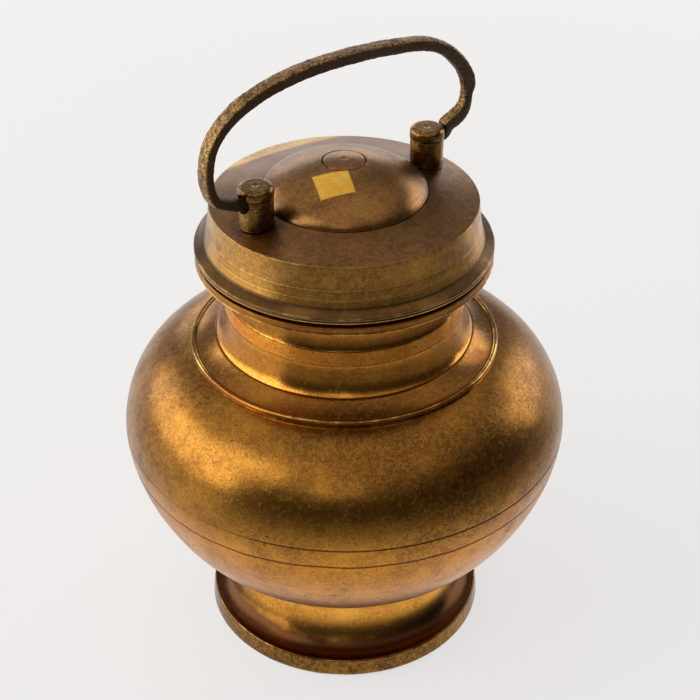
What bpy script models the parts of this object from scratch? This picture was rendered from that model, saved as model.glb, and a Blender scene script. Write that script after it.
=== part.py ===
# Brass milk jug with a screw-on lid and a swinging bail.
#
# Metres, +Z up. The origin is on the jug's axis, on the surface that it
# stands on. The bail's two posts lie on the X axis. Every height is stacked
# from the foot upwards, and every seat is worked out from the piece that it
# fits, with seat_gap left between the two faces.

from math import atan, cos, pi, sin, sqrt

import bmesh
import bpy
from mathutils import Matrix, Vector

# Fits shared by all the pieces
seat_gap = 0.0003
cut_overrun = 0.002
merge_distance = 0.000003

# How finely round shapes are divided
around = 44
small_around = 20
foot_outside_steps = 7
foot_inside_steps = 4
bowl_outside_steps = 9
shoulder_steps = 8
bowl_inside_steps = 5
collar_steps = 4
bead_steps = 3
neck_steps = 4
dome_steps = 7
cap_steps = 4
bail_span_steps = 2
bail_section_points = 12

# Foot
foot_radius = 0.0606
foot_height = 0.0360
foot_wall = 0.0024
foot_rim_height = 0.0085
foot_rim_taper = 0.0009
foot_rim_ledge = 0.0016
foot_waist_radius = 0.0446
foot_seat_width = 0.0066
foot_flare_share = 0.62
foot_rise_share = 0.45

# Belly
belly_radius = 0.0936
belly_lower_height = 0.0640
belly_upper_height = 0.0390
belly_floor_radius = 0.0460
belly_fullness = 1.66
belly_wall = 0.0024
seam_drop = 0.0085
seam_lap = 0.0029
bowl_boss_depth = 0.0020

# Collar on the shoulder
throat_height = 0.0070
throat_lap = 0.0018
collar_height = 0.0236
collar_top_wall = 0.0027
collar_band_height = 0.0061
collar_band_flare = 0.0003
collar_waist_height = 0.0052
collar_waist_radius = 0.0533
collar_bead_radius = 0.0640
collar_bead_size = 0.0011
collar_flare_share = 0.33
collar_spigot_depth = 0.0120

# Neck, lip and threaded mouth
mouth_bore = 0.0440
spigot_wall = 0.0017
neck_wall = 0.0023
neck_height = 0.0160
neck_foot_flare = 0.0012
neck_bend_share = 0.25
lip_radius = 0.0603
lip_thickness = 0.0022
lip_root_flare = 0.0042
mouth_height = 0.0183
mouth_wall = 0.0045
rim_bevel = 0.0006

# Thread
thread_pitch = 0.0050
thread_height = 0.0014
thread_root_width = 0.0030
thread_crest_width = 0.0014
thread_clearance = 0.0005
thread_lift = 0.0036
thread_bite = 0.0006
mouth_thread_turns = 2
lid_thread_turns = 1.5

# Seal
seal_thickness = 0.0018
seal_overlap = 0.0001

# Lid
flange_gap = 0.0028
flange_reach = 0.0067
flange_thickness = 0.0021
flange_slope_rise = 0.0016
skirt_wall = 0.0034
skirt_foot_flare = 0.0027
skirt_foot_height = 0.0016
skirt_foot_share = 0.50
skirt_middle_share = 0.25
lid_wall = 0.0024
lid_edge_bevel = 0.0005
lid_crown_slope = 0.176
seal_land_width = 0.0026
seal_land_depth = 0.0007

# Dome and its plug
dome_radius = 0.0333
dome_rise = 0.0140
dome_fullness = 1.62
dome_wall = 0.0018
dome_lip = 0.0013
dome_ledge_width = 0.0028
dome_inner_shares = (0.45, 0.70, 0.88, 1.00)
plug_radius = 0.0084
plug_flange_width = 0.0022
plug_flange_thickness = 0.0013

# Posts
post_radius = 0.0068
post_height = 0.0168
post_dome_gap = 0.0013
post_cap_height = 0.0042
post_cap_reach = 0.0003
post_cap_rounding = 0.0022
post_groove = 0.0005
post_hole_radius = 0.0035
post_hole_height = 0.0106
post_hole_depth = 0.0095
tenon_radius = 0.0034
rivet_radius = 0.0045
rivet_thickness = 0.0011

# Bail
bail_bulge = 0.0140
bail_height = 0.0472
bail_width = 0.0072
bail_thickness = 0.0046
bail_squareness = 4.72
bail_pin_radius = 0.0026
bail_pin_length = 0.0070
bail_shoulder_gap = 0.0010
bail_shoulder_length = 0.0018
bail_left_shoulder_rise = 0.0008
bail_right_shoulder_rise = 0.0014
# Places along the bail from the left arm to the right one, as shares of its
# half width and of its height. The bar is bent by hand, so the two arms differ.
bail_bend_shares = (
    (-0.892, 0.064),
    (-0.955, 0.108),
    (-0.991, 0.180),
    (-1.007, 0.270),
    (-1.010, 0.390),
    (-0.980, 0.560),
    (-0.915, 0.690),
    (-0.820, 0.795),
    (-0.705, 0.870),
    (-0.540, 0.938),
    (-0.340, 0.983),
    (-0.120, 0.998),
    (0.130, 0.990),
    (0.365, 0.962),
    (0.600, 0.910),
    (0.765, 0.818),
    (0.890, 0.672),
    (0.970, 0.505),
    (0.978, 0.370),
    (0.962, 0.250),
    (0.931, 0.184),
    (0.889, 0.130),
    (0.847, 0.078),
)

# Heights, from the surface that the jug stands on
floor_height = foot_height
widest_height = floor_height + belly_lower_height
seam_height = widest_height - seam_drop
shoulder_height = widest_height + belly_upper_height
collar_top = shoulder_height + collar_height
lip_bottom = collar_top + neck_height
lip_top = lip_bottom + lip_thickness
mouth_top = lip_top + mouth_height
seal_bottom = mouth_top + seat_gap
seal_top = seal_bottom + seal_thickness
land_height = seal_top + seat_gap
flange_bottom = lip_top + flange_gap

# Radii, from the mouth's bore outwards
collar_bore = mouth_bore + spigot_wall + seat_gap
collar_top_radius = collar_bore + collar_top_wall
throat_radius = collar_bore + throat_lap - seat_gap
throat_bore = throat_radius - belly_wall
neck_radius = mouth_bore + neck_wall
thread_root_radius = mouth_bore + mouth_wall
lid_bore = thread_root_radius + thread_height + thread_clearance
lid_edge_radius = lid_bore + skirt_wall
skirt_foot_radius = lid_edge_radius + skirt_foot_flare
flange_radius = lid_edge_radius + flange_reach
shoulder_arc_radius = belly_upper_height
shoulder_flat_radius = belly_radius - shoulder_arc_radius
post_offset = dome_radius + post_dome_gap + post_radius
ledge_radius = dome_radius + seat_gap

# The lid's crown is a shallow cone, lid_wall thick across its slope
crown_angle = atan(lid_crown_slope)
crown_thickness = lid_wall / cos(crown_angle)
ceiling_at_bore = land_height + seal_land_depth


def crown_top(radius):
    """Height of the lid's upper face at a distance from the axis."""
    return ceiling_at_bore + crown_thickness + (lid_bore - radius) * lid_crown_slope


def crown_underside(radius):
    """Height of the lid's ceiling at a distance from the axis."""
    return crown_top(radius) - crown_thickness


pivot_height = crown_top(post_offset) + post_hole_height


def clear_scene():
    for thing in list(bpy.data.objects):
        bpy.data.objects.remove(thing, do_unlink=True)


def metal(name, colour, roughness, metallic=1.0):
    material = bpy.data.materials.new(name)
    material.use_nodes = True
    shader = material.node_tree.nodes["Principled BSDF"]
    shader.inputs["Base Color"].default_value = (*colour, 1.0)
    shader.inputs["Roughness"].default_value = roughness
    shader.inputs["Metallic"].default_value = metallic
    material.diffuse_color = (*colour, 1.0)
    return material


def add_object(name, mesh_builder, material, smooth_angle=pi / 5):
    """Turn a finished bmesh into a named object with its own material."""
    bmesh.ops.recalc_face_normals(mesh_builder, faces=mesh_builder.faces)
    mesh = bpy.data.meshes.new(name)
    mesh_builder.to_mesh(mesh)
    mesh_builder.free()
    mesh.shade_smooth()
    mesh.set_sharp_from_angle(angle=smooth_angle)
    mesh.materials.append(material)
    thing = bpy.data.objects.new(name, mesh)
    bpy.context.scene.collection.objects.link(thing)
    return thing


def curve_points(start, pull_start, pull_end, end, steps):
    """Points on a Bezier curve in the (radius, height) plane, both ends in."""
    points = []
    for step in range(steps + 1):
        along = step / steps
        left = 1 - along
        weights = (left ** 3, 3 * left * left * along, 3 * left * along * along, along ** 3)
        corners = (start, pull_start, pull_end, end)
        points.append(tuple(sum(w * c[axis] for w, c in zip(weights, corners)) for axis in (0, 1)))
    return points


def arc_points(centre, radius, first_angle, last_angle, steps):
    """Points on a circle in the (radius, height) plane, both ends in."""
    points = []
    for step in range(steps + 1):
        angle = first_angle + (last_angle - first_angle) * step / steps
        points.append((centre[0] + radius * cos(angle), centre[1] + radius * sin(angle)))
    return points


def turned(profile, segments):
    """Spin a closed (radius, height) outline round the Z axis.

    An outline that starts and ends on the axis makes a solid of its own;
    any other is joined end to end and makes a ring.
    """
    builder = bmesh.new()
    points = [builder.verts.new((radius, 0, height)) for radius, height in profile]
    edges = [builder.edges.new(pair) for pair in zip(points, points[1:])]
    if profile[0][0] > 0 or profile[-1][0] > 0:
        edges.append(builder.edges.new((points[-1], points[0])))
    bmesh.ops.spin(
        builder,
        geom=points + edges,
        cent=(0, 0, 0),
        axis=(0, 0, 1),
        angle=2 * pi,
        steps=segments,
    )
    bmesh.ops.remove_doubles(builder, verts=builder.verts, dist=merge_distance)
    return builder


def lower_belly_radius(height, inset=0):
    """Radius of the belly below its widest ring, or of its inner face."""
    drop = (widest_height - height) / (belly_lower_height - inset)
    spread = belly_radius - inset - belly_floor_radius
    return belly_floor_radius + spread * max(0, 1 - drop ** belly_fullness) ** (1 / belly_fullness)


def lower_belly_curve(top, inset, steps):
    """The belly's side from a height down to the floor, evenly bent."""
    spread = belly_radius - inset - belly_floor_radius
    depth = belly_lower_height - inset
    first = ((widest_height - top) / depth) ** (belly_fullness / 2)
    first_angle = atan(first / sqrt(1 - first * first))
    points = []
    for step in range(steps + 1):
        angle = first_angle + (pi / 2 - first_angle) * step / steps
        out = max(0, cos(angle)) ** (2 / belly_fullness)
        down = sin(angle) ** (2 / belly_fullness)
        points.append((belly_floor_radius + spread * out, widest_height - depth * down))
    return points


def shoulder_arc(inset, steps):
    """The belly's side from its widest ring up and in to the shoulder."""
    centre = (shoulder_flat_radius, widest_height)
    return arc_points(centre, shoulder_arc_radius - inset, 0, pi / 2, steps)


def foot_ring(material):
    """Flared foot, hollow below, with a seat and a bore for the bowl's boss."""
    rim_top_radius = foot_radius - foot_rim_taper
    ledge = rim_top_radius - foot_rim_ledge
    seat_top = floor_height - seat_gap
    flare_width = ledge - foot_waist_radius
    flare_rise = seat_top - foot_rim_height
    outside = curve_points(
        (ledge, foot_rim_height),
        (ledge - flare_width * foot_flare_share, foot_rim_height + foot_rim_taper),
        (foot_waist_radius, foot_rim_height + flare_rise * foot_rise_share),
        (foot_waist_radius, seat_top),
        foot_outside_steps,
    )
    hollow_top = seat_top - foot_wall
    inside_ledge = ledge - foot_wall
    inside_waist = foot_waist_radius - foot_wall
    inside = curve_points(
        (inside_ledge, foot_rim_height - foot_wall),
        (inside_ledge - flare_width * foot_flare_share, foot_rim_height - foot_wall + foot_rim_taper),
        (inside_waist, foot_rim_height + flare_rise * foot_rise_share - foot_wall),
        (inside_waist, hollow_top),
        foot_inside_steps,
    )
    bore = foot_waist_radius - foot_seat_width
    profile = [(foot_radius, 0), (rim_top_radius, foot_rim_height)]
    profile += outside
    profile += [(bore, seat_top), (bore, hollow_top)]
    profile += inside[::-1]
    profile.append((foot_radius - foot_wall, 0))
    return add_object("foot_ring", turned(profile, around), material)


def lower_bowl(material):
    """Lower half of the belly, with a boss below and a tongue at the seam."""
    shelf = seam_height - seat_gap / 2
    tongue_wall = (belly_wall - seat_gap) / 2
    tongue_radius = lower_belly_radius(shelf, belly_wall) + tongue_wall
    boss_radius = foot_waist_radius - foot_seat_width - seat_gap
    outside = lower_belly_curve(shelf, 0, bowl_outside_steps)
    inside = lower_belly_curve(shelf + seam_lap, belly_wall, bowl_inside_steps)
    profile = [(0, floor_height - bowl_boss_depth), (boss_radius, floor_height - bowl_boss_depth)]
    profile += [(boss_radius, floor_height)]
    profile += outside[::-1]
    profile += [(tongue_radius, shelf), (tongue_radius, shelf + seam_lap)]
    profile += inside
    profile += [(0, floor_height + belly_wall)]
    return add_object("lower_bowl", turned(profile, around), material)


def upper_bowl(material):
    """Upper half of the belly, lapped over the lower one, with a throat."""
    shelf = seam_height + seat_gap / 2
    tongue_wall = (belly_wall - seat_gap) / 2
    rebate_radius = lower_belly_radius(seam_height - seat_gap / 2, belly_wall) + tongue_wall + seat_gap
    rebate_top = shelf + seam_lap
    throat_top = shoulder_height + throat_height
    middle = (shelf + widest_height) / 2
    profile = [(rebate_radius, shelf), (lower_belly_radius(shelf), shelf)]
    profile += [(lower_belly_radius(middle), middle)]
    profile += shoulder_arc(0, shoulder_steps)
    profile += [(throat_radius, shoulder_height), (throat_radius, throat_top)]
    profile += [(throat_bore, throat_top), (throat_bore, shoulder_height - belly_wall)]
    profile += shoulder_arc(belly_wall, bowl_inside_steps)[::-1]
    profile += [(lower_belly_radius(rebate_top, belly_wall), rebate_top), (rebate_radius, rebate_top)]
    return add_object("upper_bowl", turned(profile, around), material)


def shoulder_seat_height(radius):
    """Height just above the shoulder, where the collar's underside lies."""
    reach = max(0, radius - shoulder_flat_radius)
    arc = shoulder_arc_radius + seat_gap
    return widest_height + sqrt(arc * arc - reach * reach)


def neck_collar(material):
    """Flared collar with a beaded foot on the shoulder, and a turned band."""
    band_bottom = collar_top - collar_band_height
    band_radius = collar_top_radius + collar_band_flare
    waist_height = shoulder_height + collar_waist_height
    bead_inner = collar_bead_radius - 2 * collar_bead_size
    bead_middle = collar_bead_radius - collar_bead_size
    bead_height = shoulder_seat_height(bead_middle) + collar_bead_size
    flare_pull = (bead_inner - collar_waist_radius) * collar_flare_share
    flare = curve_points(
        (collar_waist_radius, waist_height),
        (collar_waist_radius + flare_pull, waist_height - collar_waist_height / 2),
        (bead_inner - flare_pull, bead_height + collar_bead_size),
        (bead_inner, bead_height + collar_bead_size * collar_flare_share),
        collar_steps,
    )
    bead = arc_points((bead_middle, bead_height), collar_bead_size, pi * 3 / 4, 0, bead_steps)
    throat_clear = throat_radius + seat_gap
    throat_clear_top = shoulder_height + throat_height + seat_gap
    profile = [(collar_bore, collar_top), (collar_top_radius, collar_top)]
    profile += [(band_radius, band_bottom)]
    profile += flare
    profile += bead
    profile += [(collar_bead_radius, shoulder_seat_height(collar_bead_radius))]
    middle = (collar_bead_radius + shoulder_flat_radius) / 2
    profile += [(middle, shoulder_seat_height(middle))]
    profile += [(shoulder_flat_radius, shoulder_height + seat_gap)]
    profile += [(throat_clear, shoulder_height + seat_gap), (throat_clear, throat_clear_top)]
    profile += [(collar_bore, throat_clear_top)]
    return add_object("neck_collar", turned(profile, around), material)


def thread_ridge(name, root_radius, height, start, turns):
    """One helical ridge. A negative height grows inwards, for a nut's thread."""
    side = 1 if height > 0 else -1
    builder = bmesh.new()
    outline = (
        (root_radius - side * thread_bite, -thread_root_width / 2),
        (root_radius - side * thread_bite, thread_root_width / 2),
        (root_radius + height, thread_crest_width / 2),
        (root_radius + height, -thread_crest_width / 2),
    )
    corners = [builder.verts.new((radius, 0, start + level)) for radius, level in outline]
    face = builder.faces.new(corners)
    steps = round(turns * around)
    bmesh.ops.spin(
        builder,
        geom=[face],
        cent=(0, 0, 0),
        axis=(0, 0, 1),
        dvec=(0, 0, thread_pitch / around),
        angle=2 * pi * steps / around,
        steps=steps,
    )
    half_facet = Matrix.Rotation(pi / around, 4, "Z")
    bmesh.ops.transform(builder, matrix=half_facet, verts=builder.verts)
    bmesh.ops.remove_doubles(builder, verts=builder.verts, dist=merge_distance)
    ridge = add_object(name, builder, bpy.data.materials["mouth_brass"])
    ridge.hide_render = True
    ridge.display_type = "WIRE"
    return ridge


def join_by_boolean(target, tool, operation):
    boolean = target.modifiers.new(tool.name, "BOOLEAN")
    boolean.operation = operation
    boolean.solver = "EXACT"
    boolean.object = tool


def threaded_mouth(material):
    """Neck sleeve with a lip all round and a threaded mouth above it."""
    spigot_radius = collar_bore - seat_gap
    spigot_bottom = collar_top - collar_spigot_depth
    step_height = collar_top + seat_gap
    foot = neck_radius + neck_foot_flare
    lip_root = neck_radius + lip_root_flare
    bend = neck_height * neck_bend_share
    throat = curve_points(
        (foot, step_height),
        (neck_radius, step_height + bend),
        (neck_radius, lip_bottom - bend),
        (lip_root, lip_bottom),
        neck_steps,
    )
    profile = [(mouth_bore, spigot_bottom), (spigot_radius, spigot_bottom), (spigot_radius, step_height)]
    profile += throat
    profile += [(lip_radius - rim_bevel / 2, lip_bottom), (lip_radius, lip_bottom + rim_bevel / 2)]
    profile += [(lip_radius, lip_top - rim_bevel / 2), (lip_radius - rim_bevel / 2, lip_top)]
    profile += [(thread_root_radius, lip_top), (thread_root_radius, mouth_top - rim_bevel)]
    profile += [(thread_root_radius - rim_bevel, mouth_top), (mouth_bore, mouth_top)]
    mouth = add_object("threaded_mouth", turned(profile, around), material)
    start = lip_top + thread_lift
    ridge = thread_ridge("mouth_thread_guide", thread_root_radius, thread_height, start, mouth_thread_turns)
    join_by_boolean(mouth, ridge, "UNION")
    return mouth


def lid_seal(material):
    """Flat washer between the mouth's rim and the lid's land."""
    inner = mouth_bore - seal_overlap
    outer = lid_bore - thread_clearance
    profile = [(inner, seal_bottom), (outer, seal_bottom), (outer, seal_top), (inner, seal_top)]
    return add_object("lid_seal", turned(profile, around), material)


def lid_cap(material):
    """Screw lid: threaded skirt with a flange, and a shallow conical crown."""
    edge_top = crown_top(lid_edge_radius)
    flange_top = flange_bottom + flange_thickness
    skirt_foot = flange_top + flange_slope_rise
    ledge_height = crown_top(ledge_radius) - dome_lip
    opening = ledge_radius - dome_ledge_width
    land_inner = lid_bore - seal_land_width
    profile = [(lid_bore, flange_bottom), (flange_radius - rim_bevel / 2, flange_bottom)]
    profile += [(flange_radius, flange_bottom + rim_bevel / 2), (flange_radius, flange_top - rim_bevel / 2)]
    profile += [(flange_radius - rim_bevel / 2, flange_top), (skirt_foot_radius, skirt_foot)]
    lower_radius = lid_edge_radius + skirt_foot_flare * skirt_foot_share
    middle_radius = lid_edge_radius + skirt_foot_flare * skirt_middle_share
    profile += [(lower_radius, skirt_foot + skirt_foot_height), (middle_radius, (skirt_foot + edge_top) / 2)]
    profile += [(lid_edge_radius, edge_top - lid_edge_bevel), (lid_edge_radius - lid_edge_bevel, edge_top)]
    profile += [(ledge_radius, crown_top(ledge_radius)), (ledge_radius, ledge_height)]
    profile += [(opening, ledge_height), (opening, crown_underside(opening))]
    profile += [(land_inner, crown_underside(land_inner)), (land_inner, land_height)]
    profile += [(lid_bore, land_height)]
    lid = add_object("lid_cap", turned(profile, around), material)
    nut_start = lip_top + thread_lift + thread_pitch / 2
    ridge = thread_ridge("lid_thread_guide", lid_bore, -thread_height, nut_start, lid_thread_turns)
    join_by_boolean(lid, ridge, "UNION")
    for side in (-1, 1):
        drill = tenon_hole("tenon_hole_guide_" + side_name(side), side)
        join_by_boolean(lid, drill, "DIFFERENCE")
    return lid


def side_name(side):
    return "right" if side > 0 else "left"


def rod_cutter(name, radius, length, place, turn):
    """Plain round cutter, centred on a place and turned to its direction."""
    builder = bmesh.new()
    bmesh.ops.create_cone(
        builder,
        cap_ends=True,
        segments=small_around,
        radius1=radius,
        radius2=radius,
        depth=length,
        matrix=Matrix.Translation(place) @ turn,
    )
    cutter = add_object(name, builder, bpy.data.materials["lid_brass"])
    cutter.hide_render = True
    cutter.display_type = "WIRE"
    return cutter


def tenon_hole(name, side):
    middle = (crown_top(post_offset) + crown_underside(post_offset)) / 2
    length = crown_thickness + 4 * cut_overrun
    place = Vector((side * post_offset, 0, middle))
    return rod_cutter(name, tenon_radius + seat_gap, length, place, Matrix.Identity(4))


def dome_height(radius, inset=0):
    """Height of the dome's outer face, or of its inner face, over a radius."""
    out = (radius / (dome_radius - inset)) ** dome_fullness
    up = max(0, 1 - out) ** (1 / dome_fullness)
    return crown_top(ledge_radius) + (dome_rise - inset) * up


def lid_dome(material):
    """Raised dome in the lid's ledge, open at the top for its plug."""
    base = crown_top(ledge_radius) - dome_lip + seat_gap
    hole = plug_radius + seat_gap
    inner_base = dome_radius - dome_wall
    outside = []
    for step in range(dome_steps + 1):
        radius = dome_radius * cos(pi / 2 * step / dome_steps)
        if radius > hole:
            outside.append((radius, dome_height(radius)))
    inside_radii = [inner_base * share for share in dome_inner_shares]
    inside = [(radius, dome_height(radius, dome_wall)) for radius in inside_radii]
    profile = [(inner_base, base), (dome_radius, base)]
    profile += outside
    profile += [(hole, dome_height(hole)), (hole, dome_height(hole, dome_wall))]
    profile += inside
    return add_object("lid_dome", turned(profile, around), material)


def dome_plug(material):
    """Plug in the dome's top, with a flange that bears on its inner face."""
    flange = plug_radius + plug_flange_width
    flange_top = dome_height(flange, dome_wall) - seat_gap
    flange_floor = flange_top - plug_flange_thickness
    profile = [(0, flange_floor), (flange, flange_floor), (flange, flange_top), (plug_radius, flange_top)]
    profile += [(plug_radius, dome_height(plug_radius)), (plug_radius / 2, dome_height(plug_radius / 2))]
    profile += [(0, dome_height(0))]
    return add_object("dome_plug", turned(profile, small_around), material)


def bail_post(side, material):
    """Turned post, riveted through the crown, with a blind hole for the bail."""
    cap = post_radius + post_cap_reach
    groove_top = post_height - post_cap_height
    rounding_centre = (cap - post_cap_rounding, post_height - post_cap_rounding)
    rounding = arc_points(rounding_centre, post_cap_rounding, pi / 2, 0, cap_steps)
    rivet_top = -crown_thickness - seat_gap
    profile = [(0, rivet_top - rivet_thickness), (rivet_radius, rivet_top - rivet_thickness)]
    profile += [(rivet_radius, rivet_top), (tenon_radius, rivet_top)]
    profile += [(tenon_radius, seat_gap), (post_radius, seat_gap)]
    profile += [(post_radius, groove_top - post_groove), (post_radius - post_groove, groove_top)]
    profile += [(cap, groove_top + post_groove)]
    profile += rounding[::-1]
    profile += [(0, post_height)]
    builder = turned(profile, small_around)
    for point in builder.verts:
        if point.co.z < post_groove:
            point.co.z -= side * point.co.x * lid_crown_slope
    place = Vector((side * post_offset, 0, crown_top(post_offset)))
    bmesh.ops.translate(builder, vec=place, verts=builder.verts)
    post = add_object("post_" + side_name(side), builder, material)
    outer_face = post_offset + cap
    middle = outer_face + (cut_overrun - post_hole_depth) / 2
    cutter = rod_cutter(
        "post_hole_guide_" + side_name(side),
        post_hole_radius,
        post_hole_depth + cut_overrun,
        Vector((side * middle, 0, pivot_height)),
        Matrix.Rotation(pi / 2, 4, "Y"),
    )
    join_by_boolean(post, cutter, "DIFFERENCE")
    return post


def smooth_through(corners, span_steps):
    """Points on one smooth curve through all the corners, the corners among them."""
    points = []
    spans = len(corners) - 1
    for station in range(spans * span_steps + 1):
        place = station / span_steps
        span = min(int(place), spans - 1)
        part = place - span
        before = corners[max(span - 1, 0)]
        first = corners[span]
        second = corners[span + 1]
        after = corners[min(span + 2, spans)]
        points.append(
            (first * 2
             + (second - before) * part
             + (before * 2 - first * 5 + second * 4 - after) * part * part
             + (first * 3 - before - second * 3 + after) * part * part * part) / 2
        )
    return points


def bail_route():
    """Corners of the bail's centre line, from the left pin to the right."""
    post_face = post_offset + post_radius
    half_width = post_face + bail_bulge
    shoulder = post_face + bail_shoulder_gap
    pin = ((post_face - bail_pin_length, 0), (shoulder, 0))
    left_end = (*pin, (shoulder + bail_shoulder_length, bail_left_shoulder_rise))
    right_end = (*pin, (shoulder + bail_shoulder_length, bail_right_shoulder_rise))
    route = [Vector((-across, 0, up)) for across, up in left_end]
    route += [Vector((half_width * across, 0, bail_height * up)) for across, up in bail_bend_shares]
    route += [Vector((across, 0, up)) for across, up in reversed(right_end)]
    return route


def bail_section(distance_from_pin):
    """Outline of the bar: round in the post, then oblong with soft edges."""
    from_shoulder = distance_from_pin - bail_pin_length - bail_shoulder_gap
    blend = min(max(from_shoulder / bail_shoulder_length, 0), 1)
    power = 2 / (2 + (bail_squareness - 2) * blend)
    half_width = bail_pin_radius + (bail_width / 2 - bail_pin_radius) * blend
    half_thickness = bail_pin_radius + (bail_thickness / 2 - bail_pin_radius) * blend
    points = []
    for index in range(bail_section_points):
        angle = 2 * pi * (index + 1 / 2) / bail_section_points
        across = abs(cos(angle)) ** power * (1 if cos(angle) > 0 else -1)
        through = abs(sin(angle)) ** power * (1 if sin(angle) > 0 else -1)
        points.append((half_width * across, half_thickness * through))
    return points


def bail_handle(material):
    """Swinging bail, with its origin on the axis through both posts."""
    route = smooth_through(bail_route(), bail_span_steps)
    builder = bmesh.new()
    rings = []
    length = sum((b - a).length for a, b in zip(route, route[1:]))
    travelled = 0
    for index, centre in enumerate(route):
        ahead = route[min(index + 1, len(route) - 1)]
        behind = route[max(index - 1, 0)]
        if index > 0:
            travelled += (centre - behind).length
        along = (ahead - behind).normalized()
        outward = Vector((-along.z, 0, along.x))
        from_pin = min(travelled, length - travelled)
        ring = []
        for across, through in bail_section(from_pin):
            ring.append(builder.verts.new(centre + Vector((0, across, 0)) + outward * through))
        rings.append(ring)
    for first, second in zip(rings, rings[1:]):
        for index in range(bail_section_points):
            after = (index + 1) % bail_section_points
            builder.faces.new((first[index], first[after], second[after], second[index]))
    builder.faces.new(rings[0])
    builder.faces.new(rings[-1])
    bail = add_object("bail_handle", builder, material)
    bail.location = (0, 0, pivot_height)
    return bail


def build_jug():
    clear_scene()
    foot_ring(metal("foot_brass", (0.30, 0.155, 0.040), 0.38))
    lower_bowl(metal("lower_brass", (0.36, 0.190, 0.050), 0.36))
    upper_bowl(metal("upper_brass", (0.36, 0.200, 0.052), 0.36))
    neck_collar(metal("collar_brass", (0.40, 0.220, 0.055), 0.34))
    threaded_mouth(metal("mouth_brass", (0.38, 0.200, 0.050), 0.36))
    lid_seal(metal("seal_leather", (0.060, 0.030, 0.015), 0.80, 0.0))
    lid_cap(metal("lid_brass", (0.27, 0.155, 0.050), 0.42))
    lid_dome(metal("dome_brass", (0.25, 0.145, 0.048), 0.40))
    dome_plug(metal("plug_brass", (0.22, 0.130, 0.045), 0.45))
    for side in (-1, 1):
        bail_post(side, metal("post_brass_" + side_name(side), (0.28, 0.150, 0.040), 0.36))
    bail_handle(metal("bail_brass", (0.100, 0.062, 0.030), 0.50))


build_jug()
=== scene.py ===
"""Looks of the brass milk jug: finely turned surfaces, aged brass and a pale studio.

Lengths in the tables are in millimetres and are turned into metres by MM.
"""
from math import cos, exp, hypot, pi, radians, sin, sqrt

import bmesh
import bpy
import numpy as np
from mathutils import Matrix, Vector, noise


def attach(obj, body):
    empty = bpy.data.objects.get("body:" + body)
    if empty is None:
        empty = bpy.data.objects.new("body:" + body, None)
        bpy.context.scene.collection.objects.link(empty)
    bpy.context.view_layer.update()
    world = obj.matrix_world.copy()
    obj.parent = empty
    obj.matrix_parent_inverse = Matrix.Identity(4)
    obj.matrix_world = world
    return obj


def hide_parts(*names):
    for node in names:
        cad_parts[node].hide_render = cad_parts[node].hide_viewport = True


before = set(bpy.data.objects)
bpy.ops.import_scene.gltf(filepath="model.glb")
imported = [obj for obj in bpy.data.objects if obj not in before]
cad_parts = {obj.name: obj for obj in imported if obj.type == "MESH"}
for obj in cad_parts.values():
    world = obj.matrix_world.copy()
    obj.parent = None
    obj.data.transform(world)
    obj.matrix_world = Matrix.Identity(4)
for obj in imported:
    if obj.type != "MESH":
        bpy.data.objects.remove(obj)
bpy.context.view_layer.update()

MM = 0.001
AROUND = 288
POST_AROUND = 96
THREAD_AROUND = 144

# Heights and radii of the jug, as packed
FOOT_TOP = 35.7
FLOOR = 36.0
WIDEST = 100.0
SEAM = 91.5
HAIRLINE = 101.0
COLLAR = 64.0
COLLAR_LINE = 144.2
BAND_BOTTOM = 156.5
COLLAR_TOP = 162.6
LIP_BOTTOM = 178.6
LIP_TOP = 180.8
MOUTH_TOP = 199.1
BELLY = 93.6
SHOULDER_FLAT = 54.6
BELLY_WALL = 2.4
BELLY_FLOOR = 46.0
BELLY_DEPTH = 64.0
BELLY_FULLNESS = 1.66
THREAD_ROOT = 48.5
THREAD_RISE = 1.4
THREAD_START = 184.4
PITCH = 5.0
LID_BORE = 50.4
LID_EDGE = 53.8
CROWN_SLOPE = 0.176
CROWN_AT_BORE = 202.2
CROWN_THICKNESS = 2.437
DOME_RADIUS = 33.3
DOME_LEDGE = 33.6
DOME_RISE = 14.0
DOME_FULLNESS = 1.62
DOME_WALL = 1.8
PLUG_RADIUS = 8.4
POST_OFFSET = 41.4
POST_HEIGHT = 16.8
PIVOT = 216.821


def crown_top(radius):
    return CROWN_AT_BORE + CROWN_THICKNESS + (LID_BORE - radius) * CROWN_SLOPE


def dome_top(radius, inset=0):
    out = (radius / (DOME_RADIUS - inset)) ** DOME_FULLNESS
    return crown_top(DOME_LEDGE) + (DOME_RISE - inset) * max(0, 1 - out) ** (1 / DOME_FULLNESS)


def belly_radius(height, inset=0):
    """Radius of the belly's outer face, or of its inner face, at a height."""
    if height > WIDEST:
        arc = BELLY - SHOULDER_FLAT - inset
        return SHOULDER_FLAT + sqrt(max(0, arc * arc - (height - WIDEST) ** 2))
    drop = min(1, (WIDEST - height) / (BELLY_DEPTH - inset))
    spread = BELLY - inset - BELLY_FLOOR
    return BELLY_FLOOR + spread * (1 - drop ** BELLY_FULLNESS) ** (1 / BELLY_FULLNESS)


# Outlines in the (radius, height) plane

def bezier(start, pull_start, pull_end, end, steps):
    points = []
    for step in range(steps + 1):
        along = step / steps
        left = 1 - along
        weights = (left ** 3, 3 * left * left * along, 3 * left * along * along, along ** 3)
        corners = (start, pull_start, pull_end, end)
        points.append(tuple(sum(w * c[axis] for w, c in zip(weights, corners)) for axis in (0, 1)))
    return points


def arc(centre, radius, first, last, steps):
    """Points on a circle between two angles in degrees."""
    angles = [radians(first + (last - first) * step / steps) for step in range(steps + 1)]
    return [(centre[0] + radius * cos(a), centre[1] + radius * sin(a)) for a in angles]


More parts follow.
